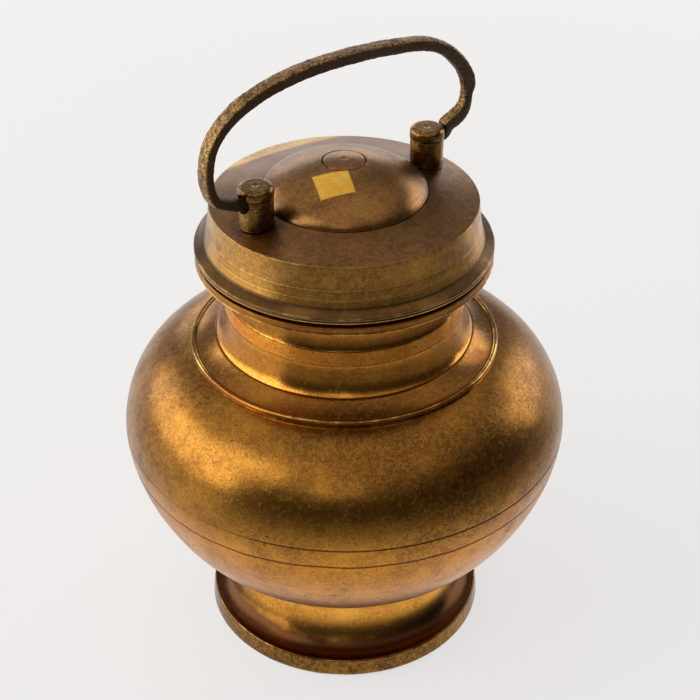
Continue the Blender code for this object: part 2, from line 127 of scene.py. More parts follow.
def eased(corners, steps=4):
    """Straight lines through (radius, height, rounding) corners, each corner eased by its rounding."""
    points = []
    for index, corner in enumerate(corners):
        here = Vector(corner[:2])
        rounding = corner[2] if len(corner) > 2 else 0
        if rounding == 0 or index in (0, len(corners) - 1):
            points.append(tuple(here))
            continue
        before = Vector(corners[index - 1][:2]) - here
        after = Vector(corners[index + 1][:2]) - here
        start = here + before.normalized() * min(rounding, before.length / 2)
        end = here + after.normalized() * min(rounding, after.length / 2)
        for step in range(steps + 1):
            along = step / steps
            place = start * (1 - along) ** 2 + here * 2 * along * (1 - along) + end * along ** 2
            points.append(tuple(place))
    return points


def filled(points, longest):
    """The same line with no step longer than a length."""
    full = []
    for first, second in zip(points, points[1:]):
        pieces = max(1, int(hypot(second[0] - first[0], second[1] - first[1]) / longest))
        for piece in range(pieces):
            share = piece / pieces
            full.append(tuple(a + (b - a) * share for a, b in zip(first, second)))
    return full + [points[-1]]


def grooved(points, grooves):
    """Cuts small dips into a line.

    A groove is (axis, place, width, depth), with axis 0 for radius and 1 for height.
    """
    dips = ((-1, 0), (-0.55, 0.25), (-0.25, 0.85), (0, 1), (0.25, 0.85), (0.55, 0.25), (1, 0))
    for axis, place, width, depth in grooves:
        middles = []
        marked = []
        for first, second in zip(points, points[1:]):
            marked.append((first, False))
            low, high = sorted((first[axis], second[axis]))
            if not low <= place < high or high - low < 1e-9:
                continue
            span = Vector((second[0] - first[0], second[1] - first[1]))
            inward = Vector((-span.y, span.x)).normalized()
            share = (place - first[axis]) / (second[axis] - first[axis])
            middle = Vector(first) + span * share
            middles.append(middle)
            run = span.normalized()
            for offset, dip in dips:
                marked.append((tuple(middle + run * width * offset / 2 + inward * depth * dip), True))
        marked.append((points[-1], False))
        reach = width / 2 + 0.03
        points = [point for point, of_groove in marked
                  if of_groove or all((Vector(point) - middle).length > reach for middle in middles)]
    return points


def bulge_of(points, closed, reach):
    """How far each point of a line stands out (over 0) or lies in a hollow (under 0), over a reach."""
    line = np.array(points, float)
    count = len(line)
    if closed:
        line = np.vstack([line, line, line])
    steps = np.hypot(*np.diff(line, axis=0).T)
    travel = np.concatenate([[0], np.cumsum(steps)])
    first = count if closed else 0
    here = travel[first:first + count]
    places = line[first:first + count]

    def at(distance):
        distance = np.clip(distance, 0, travel[-1])
        return np.column_stack([np.interp(distance, travel, line[:, axis]) for axis in (0, 1)])

    before, after = at(here - reach), at(here + reach)
    run = after - before
    run /= np.maximum(np.hypot(*run.T), 1e-9)[:, None]
    outward = np.column_stack([run[:, 1], -run[:, 0]])
    return ((places - (before + after) / 2) * outward).sum(axis=1) / reach


# Meshes

def link(name, mesh, body, material, replaced=(), sharp=38):
    mesh.polygons.foreach_set("use_smooth", [True] * len(mesh.polygons))
    mesh.set_sharp_from_angle(angle=radians(sharp))
    thing = bpy.data.objects.new(name, mesh)
    bpy.context.scene.collection.objects.link(thing)
    mesh.materials.append(material)
    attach(thing, body)
    if replaced:
        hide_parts(*replaced)
    return thing


def face_outwards(mesh):
    work = bmesh.new()
    work.from_mesh(mesh)
    bmesh.ops.recalc_face_normals(work, faces=work.faces)
    work.to_mesh(mesh)
    work.free()


def store(mesh, name, values):
    attribute = mesh.attributes.new(name, "FLOAT", "POINT")
    attribute.data.foreach_set("value", np.asarray(values, np.float32))


def turned(name, outline, around=AROUND, bend=None, rough=0.06, centre=(0, 0), darkening=None, lines=()):
    """Spins an outline, anticlockwise in the (radius, height) plane, into a closed skin.

    bend(radius, height, angle) gives each place's own radius and height. rough
    is how far the hand-made surface wanders, in millimetres. The darkening function of (radius, height)
    gives how much painted shade lies there, and on the lid how much darker it is. lines gives (height, reach,
    wear, least radius)
    where the wear is set: over 0 for bright worn metal, under 0 for dark joints, grooves and a corner, and
    painted shade under the lid's flange.
    """
    solid = outline[0][0] < 1e-6 and outline[-1][0] < 1e-6
    ring = outline[1:-1] if solid else outline
    worn = bulge_of(outline, not solid, 0.55)
    wide = bulge_of(outline, not solid, 2.2)
    radii, heights = np.array(outline).T
    for line, reach, wear, least in lines:
        worn[(np.abs(heights - line) < reach) & (radii > least)] = wear
    if solid:
        poles = [(outline[0], worn[0], wide[0]), (outline[-1], worn[-1], wide[-1])]
        worn, wide = worn[1:-1], wide[1:-1]
    places = []
    for radius, height in ring:
        for step in range(around):
            angle = 2 * pi * step / around
            r, z = bend(radius, height, angle) if bend else (radius, height)
            place = Vector((r * cos(angle), r * sin(angle), z))
            if rough:
                r += rough * noise.noise(place * 0.045) + rough * 0.35 * noise.noise(place * 0.16)
            places.append(((centre[0] + r * cos(angle)) * MM, (centre[1] + r * sin(angle)) * MM, z * MM))
    faces = []
    rows = len(ring)
    last = rows if not solid else rows - 1
    for row in range(last):
        under, over = row * around, ((row + 1) % rows) * around
        for step in range(around):
            after = (step + 1) % around
            faces.append((under + step, under + after, over + after, over + step))
    worn_all = np.repeat(worn, around)
    wide_all = np.repeat(wide, around)
    if solid:
        for end, row in ((0, 0), (1, rows - 1)):
            point, edge, hollow = poles[end]
            top = bend(0, point[1], 0)[1] if bend else point[1]
            places.append((centre[0] * MM, centre[1] * MM, top * MM))
            worn_all = np.append(worn_all, edge)
            wide_all = np.append(wide_all, hollow)
            pole = len(places) - 1
            for step in range(around):
                after = (step + 1) % around
                pair = (row * around + step, row * around + after)
                faces.append((pair[1], pair[0], pole) if end == 0 else (pair[0], pair[1], pole))
    mesh = bpy.data.meshes.new(name)
    mesh.from_pydata(places, [], faces)
    face_outwards(mesh)
    store(mesh, "edge", worn_all)
    store(mesh, "hollow", wide_all)
    old = np.array([darkening(*point) if darkening else 0.0 for point in ring])
    old = np.repeat(old, around)
    store(mesh, "darkening", np.append(old, [0.0] * (len(worn_all) - len(old))))
    return mesh


def bar(name, places, sides):
    """A closed bar from rows of places, each row one turn round it."""
    rows = len(places) // sides
    faces = []
    for row in range(rows - 1):
        for side in range(sides):
            after = (side + 1) % sides
            first, second = row * sides, (row + 1) * sides
            faces.append((first + side, first + after, second + after, second + side))
    faces.append(tuple(range(sides)))
    faces.append(tuple((rows - 1) * sides + side for side in reversed(range(sides))))
    mesh = bpy.data.meshes.new(name)
    mesh.from_pydata(places, [], faces)
    face_outwards(mesh)
    return mesh


def between(value, low, high, ease):
    """1 between two limits, falling to 0 over a distance outside them."""
    return max(0.0, min(1.0, 1 - (low - value) / ease, 1 - (value - high) / ease))


# Foot

def foot_outline():
    """A flared foot: a bevelled rim, a concave waist and the same curve again inside."""
    ledge = 58.1
    waist = 44.6
    outside = bezier((ledge, 8.5), (ledge - 8.4, 9.4), (waist, 20.7), (waist, FOOT_TOP), 34)
    inside = bezier((ledge - 2.4, 6.1), (ledge - 10.8, 7.0), (waist - 2.4, 18.3), (waist - 2.4, 33.3), 12)
    rim = eased([(58.2, 0.0), (59.4, 0.0, 0.2), (60.7, 1.7, 0.4), (60.5, 3.4, 0.8), (59.75, 8.7, 0.8),
                 (58.4, 8.9, 0.5), (ledge - 0.3, 8.5)])
    lower = filled(rim, 0.6)[:-1]
    upper = outside[1:-1] + eased([outside[-1], (waist - 0.2, FOOT_TOP, 0.2), (38.0, FOOT_TOP)])[1:]
    hidden = filled([(38.0, 33.3)] + inside[::-1] + [(58.2, 0.0)], 3.0)[:-1]
    return lower + filled(upper, 1.2) + hidden


def foot_bend(radius, height, angle):
    """File marks and dents along the rim's lower edge."""
    def around(turns, level):
        return noise.noise(Vector((cos(angle) * turns, sin(angle) * turns, level)))

    near = max(0, 1 - height / 3.0) if radius > 57 else 0
    file_marks = max(0, sin(angle * 118)) ** 3 * 0.45 * max(0, around(2, 4.1) + 0.25)
    dents = 0.5 * max(0, around(5, 1.7) - 0.05)
    wave = 0.15 * around(3, height * 0.2) if height < 10 and radius > 55 else 0
    return radius - near * (file_marks + dents) + wave, height


def foot_shade(radius, height):
    """Painted shade in the corner between the rim and the waist."""
    return 1.1 * between(height, 9.2, 11.5, 6.0) if radius > 44.8 and height > 8.6 else 0.0


# Belly

def seam_wander(angle):
    """How far the brazed seam strays up and down round the belly."""
    slow = noise.noise(Vector((cos(angle) * 1.3, sin(angle) * 1.3, 7.3)))
    quick = noise.noise(Vector((cos(angle) * 6.5, sin(angle) * 6.5, 2.2)))
    return 1.6 * slow + 0.55 * quick


def line_tilt(angle):
    """How far the scribed line over the seam is out of level."""
    return 0.5 * sin(angle - 0.6)


def belly_bend(radius, height, angle):
    """Moves the places near the seam and the scribed line up or down along the belly's own curve."""
    near_seam = exp(-((height - SEAM) / 5.0) ** 2)
    near_line = exp(-((height - HAIRLINE) / 3.5) ** 2)
    shift = near_seam * seam_wander(angle) + near_line * line_tilt(angle)
    slope = belly_radius(min(height + shift, 138.9)) - belly_radius(min(height, 138.9))
    return radius + slope, height + shift


def lower_outline():
    """The belly's lower bowl up to the seam, with the jug's floor."""
    top = SEAM - 0.07
    floor_top = FLOOR + BELLY_WALL
    close = FLOOR + 0.02 + (np.linspace(0, 1, 26) ** 2.2) * 8
    outside = [(belly_radius(z), z) for z in np.concatenate([close, np.linspace(44.5, top - 0.35, 56)])]
    inner_heights = floor_top + 0.02 + (np.linspace(0, 1, 18) ** 1.7) * (top - floor_top - 0.02)
    inside = [(belly_radius(z, BELLY_WALL), z) for z in inner_heights]
    underside = eased([(3, 34.0), (37.7, 34.0, 0.3), (37.7, FLOOR, 0.1), (44.0, FLOOR)])
    line = [(0, 34.0)] + filled(underside, 4.0) + outside
    line += eased([outside[-1], (belly_radius(top), top, 0.25), (belly_radius(top, BELLY_WALL), top)])[1:]
    return line + inside[::-1][1:] + [(30.0, floor_top), (15.0, floor_top), (0, floor_top)]


def upper_outline():
    """The belly's upper bowl from the seam to the shoulder, with its scribed line and the inner neck."""
    bottom = SEAM + 0.07
    above = WIDEST + 39 * np.sin(np.linspace(0.01, pi / 2, 62))
    heights = np.concatenate([np.linspace(bottom + 0.35, WIDEST, 12), above])
    outside = [(belly_radius(min(z, 138.99)), z) for z in heights]
    inside = [(belly_radius(z, BELLY_WALL), z) for z in np.linspace(bottom, 136.58, 26)]
    line = eased([(inside[0][0], bottom), (belly_radius(bottom), bottom, 0.25), outside[0]])[:-1] + outside
    line = grooved(line, [(1, HAIRLINE, 0.75, 0.22)])
    line += filled([(47.5, 139.0), (47.5, 146.0), (45.1, 146.0), (45.1, 136.6), (54.0, 136.6)], 2.5)
    return line + inside[::-1][1:-1]


# Collar, neck and mouth

BEAD = 1.1


def seat_height(radius):
    """Height of the shoulder's outer face under the collar."""
    reach = max(0, radius - SHOULDER_FLAT)
    return WIDEST + sqrt(39.3 * 39.3 - reach * reach)


def bead_top():
    return seat_height(COLLAR - BEAD) + 2 * BEAD


def collar_outline():
    """Flared collar: an outer bead, an incised line, a concave flare and a pitted band."""
    bead_middle = COLLAR - BEAD
    bead_height = seat_height(bead_middle) + BEAD
    inner = COLLAR - 2 * BEAD
    start = (53.3, COLLAR_LINE)
    skirt = bezier(start, (56.5, 142.1), (inner - 2.8, bead_height + 1.3), (inner, bead_height + 0.35), 22)
    flare = bezier(start, (51.3, 145.8), (49.9, 149.8), (49.15, 156.2), 30)
    band = eased([flare[-1], (49.2, BAND_BOTTOM, 0.1), (49.28, 157.0, 0.3), (48.75, COLLAR_TOP - 0.05, 0.35),
                  (46.3, COLLAR_TOP)])
    seat = [(radius, seat_height(radius)) for radius in (57.0, 59.2, 61.5, 63.9)]
    bead = arc((bead_middle, bead_height), BEAD, -8, 140, 14)
    line = [(54.6, 139.3)] + seat + bead + skirt[::-1] + flare[1:] + band[1:]
    line = grooved(filled(line, 0.9), [(1, COLLAR_LINE, 0.7, 0.26)])
    return line + filled([(46.0, 162.5), (46.0, 146.3), (47.8, 146.3), (47.8, 139.3)], 3.0)


def mouth_outline():
    """Throat, lip and threaded mouth, turned in one piece."""
    throat = bezier((48.3, 162.75), (46.2, 166.0), (46.2, 174.6), (50.5, LIP_BOTTOM), 34)
    lip = eased([(51.0, LIP_BOTTOM), (60.5, LIP_BOTTOM - 0.1, 0.25), (60.2, LIP_BOTTOM + 0.7, 0.3),
                 (60.2, LIP_TOP + 0.6, 0.5), (57.5, LIP_TOP + 0.5, 1.0), (50.0, LIP_TOP)])
    tube = eased([(THREAD_ROOT, LIP_TOP), (THREAD_ROOT, MOUTH_TOP, 0.6), (44.0, MOUTH_TOP, 0.6),
                  (44.0, 190.0)])
    line = eased([(44.0, 150.6), (45.7, 150.6, 0.2), (45.7, 162.75)]) + [(46.6, 162.75)]
    line += filled(throat, 0.9) + filled(lip, 0.4) + filled(tube, 1.6)
    return line + [(44.0, z) for z in (180.0, 170.0, 160.0)]


def lip_bend(radius, height, angle):
    """Nicks and small dents in the lip's edge."""
    near = max(0, (radius - 58.0) / 2.3)
    nick = max(0, noise.noise(Vector((cos(angle) * 14, sin(angle) * 14, 9.0))) - 0.22)
    dip = max(0, noise.noise(Vector((cos(angle) * 4, sin(angle) * 4, 3.0))) - 0.1)
    wave = 0.12 * noise.noise(Vector((cos(angle) * 2.4, sin(angle) * 2.4, 0.5)))
    return radius - near * (0.55 * nick + 0.25 * dip), height + near * wave


def throat_shade(radius, height):
    """Painted shade on the throat, under the lip."""
    return 0.5 * between(height, 162.0, 178.5, 1.0) if radius > 46.2 else 0.0


def flare_shade(radius, height):
    """Painted shade half way up the flare."""
    return 0.3 * between(height, 147.0, 154.0, 2.5) if radius > 49.0 else 0.0


def helix(name, root, start, turns, handed_in, body, material):
    """A thread's ridge, as a closed bar wound round the axis."""
    side = -1 if handed_in else 1
    half = ((-0.5, -1.5), (0.35, -1.15), (THREAD_RISE, -0.6))
    shape = [(out * side, up) for out, up in half + tuple((out, -up) for out, up in half[::-1])]
    count = round(turns * THREAD_AROUND)
    places = []
    for step in range(count + 1):
        share = step / THREAD_AROUND
        angle = 2 * pi * share
        fade = min(1, step / 10, (count - step) / 10)
        for out, up in shape:
            radius = root + (out if out * side < 0 else out * fade)
            height = start + PITCH * share + up * (0.4 + 0.6 * fade)
            places.append((radius * cos(angle) * MM, radius * sin(angle) * MM, height * MM))
    mesh = bar(name, places, len(shape))
    store(mesh, "edge", np.tile([0, 0, 0.35, 0.35, 0, 0], count + 1))
    store(mesh, "hollow", np.zeros(len(places)))
    return link(name, mesh, body, material)


# Lid

def lid_outline():
    """Screw lid: flange with a grooved rim, flared skirt with one raised line, crown and the dome's ledge."""
    bottom = 183.25
    edge = crown_top(LID_EDGE)
    ledge = DOME_LEDGE
    shelf = crown_top(ledge) - 1.3
    opening = ledge - 2.8
    bore_top = 201.5

    def under_crown(radius):
        return radius, crown_top(radius) - CROWN_THICKNESS

    flange = [(LID_BORE, bottom), (60.4, bottom, 0.35), (60.5, 185.4, 0.3), (59.9, 185.75, 0.15),
              (57.2, 187.0, 0.2), (56.55, 187.25, 0.2), (56.3, 188.3, 0.5)]
    skirt = [(55.75, 189.8, 1.2), (54.6, 195.5, 1.0), (LID_EDGE, edge - 0.16, 0.16),
             (LID_EDGE - 0.4, edge + 0.07)]
    line = [(LID_BORE + 0.2, bottom)] + filled(eased(flange + skirt), 0.7)[1:]
    line = grooved(line, [(1, 184.35, 0.6, 0.28), (1, 194.4, 0.4, 0.10), (1, 190.6, 0.35, 0.06)])
    line += filled([(r, crown_top(r)) for r in (LID_EDGE - 0.8, ledge + 0.4)], 0.9)
    line += eased([(ledge + 0.3, crown_top(ledge + 0.3)), (ledge, crown_top(ledge) - 0.2, 0.15),
                   (ledge, shelf), (ledge - 0.1, shelf)])
    line += filled([(opening, shelf), under_crown(opening)], 1.5)
    line += filled([under_crown(opening + 0.4), under_crown(47.8), (47.8, bore_top), (LID_BORE, bore_top),
                    (LID_BORE, bottom + 0.95)], 2.5)
    return line


def lid_darkening(radius, height):
    """Darker on the flange and in its corner, and on the crown round the dome and the posts."""
    if radius > 56.0 and height > 184.9:
        return 0.75 * between(height, 185.0, 187.6, 0.9)
    if height > 200 and radius < LID_EDGE - 0.6:
        return 0.25 * between(radius, 33.0, 36.0, 12.0)
    return 0.0


def lid_bend(radius, height, angle):
    """Nicks in the flange's edge."""
    near = max(0, (radius - 58.0) / 2.5) if height < 188 else 0
    nick = max(0, noise.noise(Vector((cos(angle) * 11, sin(angle) * 11, 5.0))) - 0.3)
    return radius - near * 0.45 * nick, height


def dome_outline():
    """A hollow dome with a hole at its top for the plug."""
    base = crown_top(DOME_LEDGE) - 1.0
    inner = DOME_RADIUS - DOME_WALL
    angles = np.linspace(0, pi / 2, 74)
    outside = [(r, dome_top(r)) for r in DOME_RADIUS * np.cos(angles) ** (1.6 / DOME_FULLNESS) if r > 9.0]
    inside = [inner * share for share in (0.33, 0.45, 0.58, 0.7, 0.8, 0.88, 0.94, 0.98, 1.0)]
    foot = eased([(inner + 0.7, base), (DOME_RADIUS, base, 0.15), outside[0], outside[1]])[:-1]
    line = [(inner, base)] + foot + outside[1:]
    line += [(8.85, dome_top(8.85) - 0.07), (8.72, dome_top(8.72) - 0.4), (8.7, dome_top(8.7, DOME_WALL))]
    return line + [(radius, dome_top(radius, DOME_WALL)) for radius in inside]


def plug_outline():
    """The round plug that closes the dome, with a flange under the dome and a centre mark on top."""
    flange_top = dome_top(10.6, DOME_WALL) - 0.3
    flange_bottom = flange_top - 1.3
    line = [(radius, flange_bottom) for radius in (0, 5.0, 10.6)]
    line += [(10.6, flange_top), (PLUG_RADIUS, flange_top)]
    line += [(8.35, dome_top(8.35) - 0.4), (8.2, dome_top(8.2) - 0.08)]
    line += [(r, dome_top(r)) for r in (7.9, 7.0, 6.0, 5.0, 4.0, 3.0, 2.0, 1.2)]
    return line + [(0.9, dome_top(0.9) - 0.1), (0.5, dome_top(0.5) - 0.4), (0, dome_top(0) - 0.55)]


# Posts

def post_foot_shade(radius, height):
    """Painted shade round the post's foot."""
    return 0.4 * between(height, 0.0, 2.0, 6.0)


def post_outline():
    """Body with turning rings, then a slightly wider cap with a rounded shoulder and a centre mark."""
    cap = 7.05
    seat = POST_HEIGHT - 4.4
    body = eased([(5.0, 0.3), (6.8, 0.3, 0.25), (6.8, seat - 0.4, 0.2), (6.6, seat, 0.15),
                  (cap, seat + 0.35, 0.15), (cap, POST_HEIGHT - 2.3)])
    line = [(0, 0.3), (3.0, 0.3)] + filled(body, 0.6)
    line += arc((cap - 2.1, POST_HEIGHT - 2.1), 2.1, 0, 88, 12)[1:]
    line += filled([(4.7, POST_HEIGHT), (1.3, POST_HEIGHT)], 0.8)
    line += [(0.9, POST_HEIGHT - 0.08), (0.5, POST_HEIGHT - 0.3), (0, POST_HEIGHT - 0.4)]
    return grooved(line, [(1, seat - drop, 0.42, 0.08) for drop in (0.9, 1.6, 2.5, 3.6)])


def post_mesh(side):
    """A post that stands square on the sloping crown, with a drilled hole for the bail's pin."""
    name = "post_skin_right" if side > 0 else "post_skin_left"
    base = crown_top(POST_OFFSET)

    def bend(radius, height, angle):
        lean = -side * radius * cos(angle) * CROWN_SLOPE * max(0, 1 - height / 1.5)
        return radius, height + base + lean

    mesh = turned(name, post_outline(), POST_AROUND, bend, 0.03, (side * POST_OFFSET, 0), post_foot_shade)
    drill_outline = [(0, -9.5), (2.0, -9.5), (3.2, -9.4), (3.5, -9.0), (3.5, -7.0), (3.5, -5.0), (3.6, -3.0),
                     (3.75, -2.0), (4.0, -1.2), (4.0, 1.5), (0, 1.5)]
    drill = turned("drill", drill_outline, 48, None, 0)
    outer = (POST_OFFSET + 7.1) * MM
    turn = Matrix.Rotation(side * pi / 2, 4, "Y")
    drill.transform(Matrix.Translation((side * outer, 0, PIVOT * MM)) @ turn)
    face_outwards(drill)
    return cut(mesh, drill)


def cut(mesh, drill):
    """Takes one mesh out of another."""
    whole = bpy.data.objects.new("whole", mesh)
    tool = bpy.data.objects.new("tool", drill)
    for thing in (whole, tool):
        bpy.context.scene.collection.objects.link(thing)
    boolean = whole.modifiers.new("hole", "BOOLEAN")
    boolean.operation = "DIFFERENCE"
    boolean.solver = "EXACT"
    boolean.object = tool
    bpy.context.view_layer.update()
    result = bpy.data.meshes.new_from_object(whole.evaluated_get(bpy.context.evaluated_depsgraph_get()))
    name = mesh.name
    for thing in (whole, tool):
        bpy.data.objects.remove(thing, do_unlink=True)
    bpy.data.meshes.remove(mesh)
    bpy.data.meshes.remove(drill)
    result.name = name
    result.materials.clear()
    return result


# Bail

# Centre line of the forged bar, as x, height over the pivot, half width and half thickness
BAIL_ROUTE = (
    (-49.3, 0.3, 2.7, 2.5), (-52.0, 1.4, 3.0, 2.4), (-55.5, 3.0, 3.3, 2.3), (-59.4, 5.1, 3.4, 2.2),
    (-61.6, 8.5, 3.4, 2.15), (-62.6, 12.7, 3.4, 2.1), (-62.8, 18.4, 3.4, 2.1), (-61.0, 26.4, 3.4, 2.15),
    (-56.9, 32.6, 3.4, 2.25), (-51.0, 37.5, 3.4, 2.35), (-43.9, 41.1, 3.4, 2.45), (-33.6, 44.3, 3.35, 2.55),
    (-21.1, 46.4, 3.3, 2.6), (-7.5, 47.1, 3.3, 2.6), (8.1, 46.7, 3.3, 2.6), (22.7, 45.4, 3.2, 2.6),
    (37.3, 43.0, 3.1, 2.55), (47.6, 38.6, 3.0, 2.6), (55.4, 31.7, 2.7, 2.75), (60.3, 24.5, 2.5, 2.9),
    (61.8, 19.4, 2.45, 2.9), (61.3, 15.7, 2.4, 2.05), (60.8, 12.4, 2.4, 2.15), (59.8, 9.7, 2.55, 2.7),
    (58.0, 7.6, 2.7, 3.0), (55.5, 6.1, 2.7, 3.2), (52.4, 4.8, 2.7, 3.1), (49.4, 3.3, 2.6, 3.0),
)


def smooth_through(corners, stations):
    """A smooth path that touches every corner."""
    points = []
    spans = len(corners) - 1
    for station in range(stations + 1):
        place = spans * station / stations
        span = min(int(place), spans - 1)
        part = place - span
        before, first = corners[max(span - 1, 0)], corners[span]
        second, after = corners[span + 1], corners[min(span + 2, spans)]
        points.append((first * 2 + (second - before) * part
                       + (before * 2 - first * 5 + second * 4 - after) * part ** 2
                       + (first * 3 - before - second * 3 + after) * part ** 3) / 2)
    return points


def evenly(points, spacing):
    """The same path with its points an even distance apart, and its length."""
    line = np.array([tuple(p) for p in points], float)
    travel = np.concatenate([[0], np.cumsum(np.linalg.norm(np.diff(line, axis=0), axis=1))])
    places = np.linspace(0, travel[-1], round(travel[-1] / spacing) + 1)
    path = [Vector([np.interp(p, travel, line[:, axis]) for axis in range(line.shape[1])]) for p in places]
    return path, travel[-1]


def bail_mesh():
    """A forged bar, bent by hand: hammered faces, soft arrises, a blunt cut at its right end."""
    path, length = evenly(smooth_through([Vector(place) for place in BAIL_ROUTE], 500), 0.45)
    sides = 40
    final = len(path) - 1
    rows = [(0, 0.45, 0.84), (0, 0.12, 0.95)]
    rows += [(index, 0.0, 1.0) for index in range(len(path))]
    rows += [(final, 0.12, 0.95), (final, 0.35, 0.87)]
    places, edge, outer, share = [], [], [], []
    for index, beyond, size in rows:
        ahead, behind = path[min(index + 2, final)], path[max(index - 2, 0)]
        along = Vector((ahead[0] - behind[0], ahead[1] - behind[1])).normalized()
        outward = Vector((-along.y, along.x))
        travelled = length * index / final
        upright = Vector((0, -1)) if travelled > length / 2 else Vector((0.35, -1)).normalized()
        turn = max(0, 1 - min(travelled, length - travelled) / 3.2)
        outward = (outward * (1 - turn) + upright * turn).normalized()
        centre = Vector(path[index][:2]) + along * (beyond if index else -beyond)
        wider = 1 + 0.04 * noise.noise(Vector((travelled * 0.09, 3.0, 0.0)))
        thicker = 1 + 0.05 * noise.noise(Vector((travelled * 0.08, 8.0, 0.0)))
        half_wide = path[index][2] * wider * size
        half_thick = path[index][3] * thicker * size
        for side in range(sides):
            angle = 2 * pi * side / sides
            c, s = cos(angle), sin(angle)
            across = half_wide * abs(c) ** 0.54 * (1 if c > 0 else -1)
            through = half_thick * abs(s) ** 0.54 * (1 if s > 0 else -1)
            where = Vector((centre.x + outward.x * through, across, centre.y + outward.y * through))
            normal = Vector((outward.x * s, c, outward.y * s))
            beat = noise.noise(where * 0.30) * 0.14 + noise.noise(where * 0.9 + Vector((5, 1, 2))) * 0.12
            beat += noise.noise(where * 2.2) * 0.07
            notch = sum(depth * exp(-((travelled - place * length) / width) ** 2)
                        for place, depth, width, top in BAIL_NOTCHES if (s > 0.2) == top)
            moved = where + normal * (beat - notch)
            places.append((moved.x * MM, moved.y * MM, (PIVOT + moved.z) * MM))
            edge.append((abs(c) * abs(s) * 2) ** 3 + max(0, beat) * 1.5)
            outer.append(s)
            share.append(travelled / length)
    mesh = bar("bail_bar", places, sides)
    store(mesh, "edge", edge)
    store(mesh, "outer", outer)
    store(mesh, "share", share)
    return mesh


# Share of the bail's length, depth, half width, and whether it is on the outer face
BAIL_NOTCHES = (
    (0.628, 0.40, 0.45, True),
    (0.636, 0.28, 0.35, True),
)

# Pins that the bar's ends are drawn out into: x, height over the pivot
PIN_ROUTES = (
    ((-41.3, 0.0), (-45.0, 0.0), (-49.0, 0.0), (-50.5, 0.5), (-52.5, 1.6)),
    ((41.3, 0.0), (45.0, 0.0), (48.9, 0.0), (50.4, 0.6), (51.6, 2.2), (52.4, 4.2)),
)


def pin_mesh(name, route):
    """A round pin from inside a post out to the end of the bail's bar."""
    path = evenly(smooth_through([Vector(place) for place in route], 60), 0.5)[0]
    sides = 24
    places = []
    for index, centre in enumerate(path):
        ahead, behind = path[min(index + 1, len(path) - 1)], path[max(index - 1, 0)]
        along = (ahead - behind).normalized()
        radius = 2.05 if index == 0 else 2.35
        for side in range(sides):
            angle = 2 * pi * side / sides
            up = radius * sin(angle)
            places.append(((centre.x - along.y * up) * MM, radius * cos(angle) * MM,
                           (PIVOT + centre.y + along.x * up) * MM))
    mesh = bar(name, places, sides)
    store(mesh, "edge", [0.0] * len(places))
    store(mesh, "outer", [0.0] * len(places))
    store(mesh, "share", [0.5] * len(places))
    return mesh


# Foil patch on the dome

FOIL_CORNERS = ((-16.35, -1.32), (-3.82, -7.84), (-8.16, -18.79), (-20.89, -13.56))


def foil_mesh():
    """A thin blank square of foil that follows the dome, with a lifted corner and creases."""
    steps = 28
    corners = [Vector(c) for c in FOIL_CORNERS]
    top, bottom = [], []
    edge = []
    for row in range(steps + 1):
        for column in range(steps + 1):
            u, v = column / steps, row / steps
            near_side = corners[0] * (1 - u) + corners[1] * u
            far_side = corners[3] * (1 - u) + corners[2] * u
            place = near_side * (1 - v) + far_side * v
            on_edge = 0 in (row, column) or steps in (row, column)
            if on_edge:
                wander = 0.12 * noise.noise(Vector((u * 7, v * 7, 3)))
                place = place + Vector((wander, wander))
            lift = 0.05 + 0.03 * noise.noise(Vector((place.x * 0.7, place.y * 0.7, 1.5)))
            lift += 0.22 * max(0, u + v - 1.72)
            height = dome_top(min(place.length, 33)) + lift
            top.append((place.x * MM, place.y * MM, (height + 0.07) * MM))
            bottom.append((place.x * MM, place.y * MM, (height - 0.03) * MM))
            edge.append(1.0 if on_edge else 0.0)
    wide = steps + 1
    count = wide * wide
    faces = []
    for row in range(steps):
        for column in range(steps):
            a = row * wide + column
            faces.append((a, a + 1, a + wide + 1, a + wide))
            faces.append((count + a, count + a + wide, count + a + wide + 1, count + a + 1))
    ring = [column for column in range(wide)]
    ring += [row * wide + steps for row in range(1, wide)]
    ring += [steps * wide + column for column in range(steps - 1, -1, -1)]
    ring += [row * wide for row in range(steps - 1, 0, -1)]
    for first, second in zip(ring, ring[1:] + ring[:1]):
        faces.append((first, second, count + second, count + first))
    mesh = bpy.data.meshes.new("foil_patch")
    mesh.from_pydata(top + bottom, [], faces)
    face_outwards(mesh)
    store(mesh, "edge", edge + edge)
    return mesh


# Materials

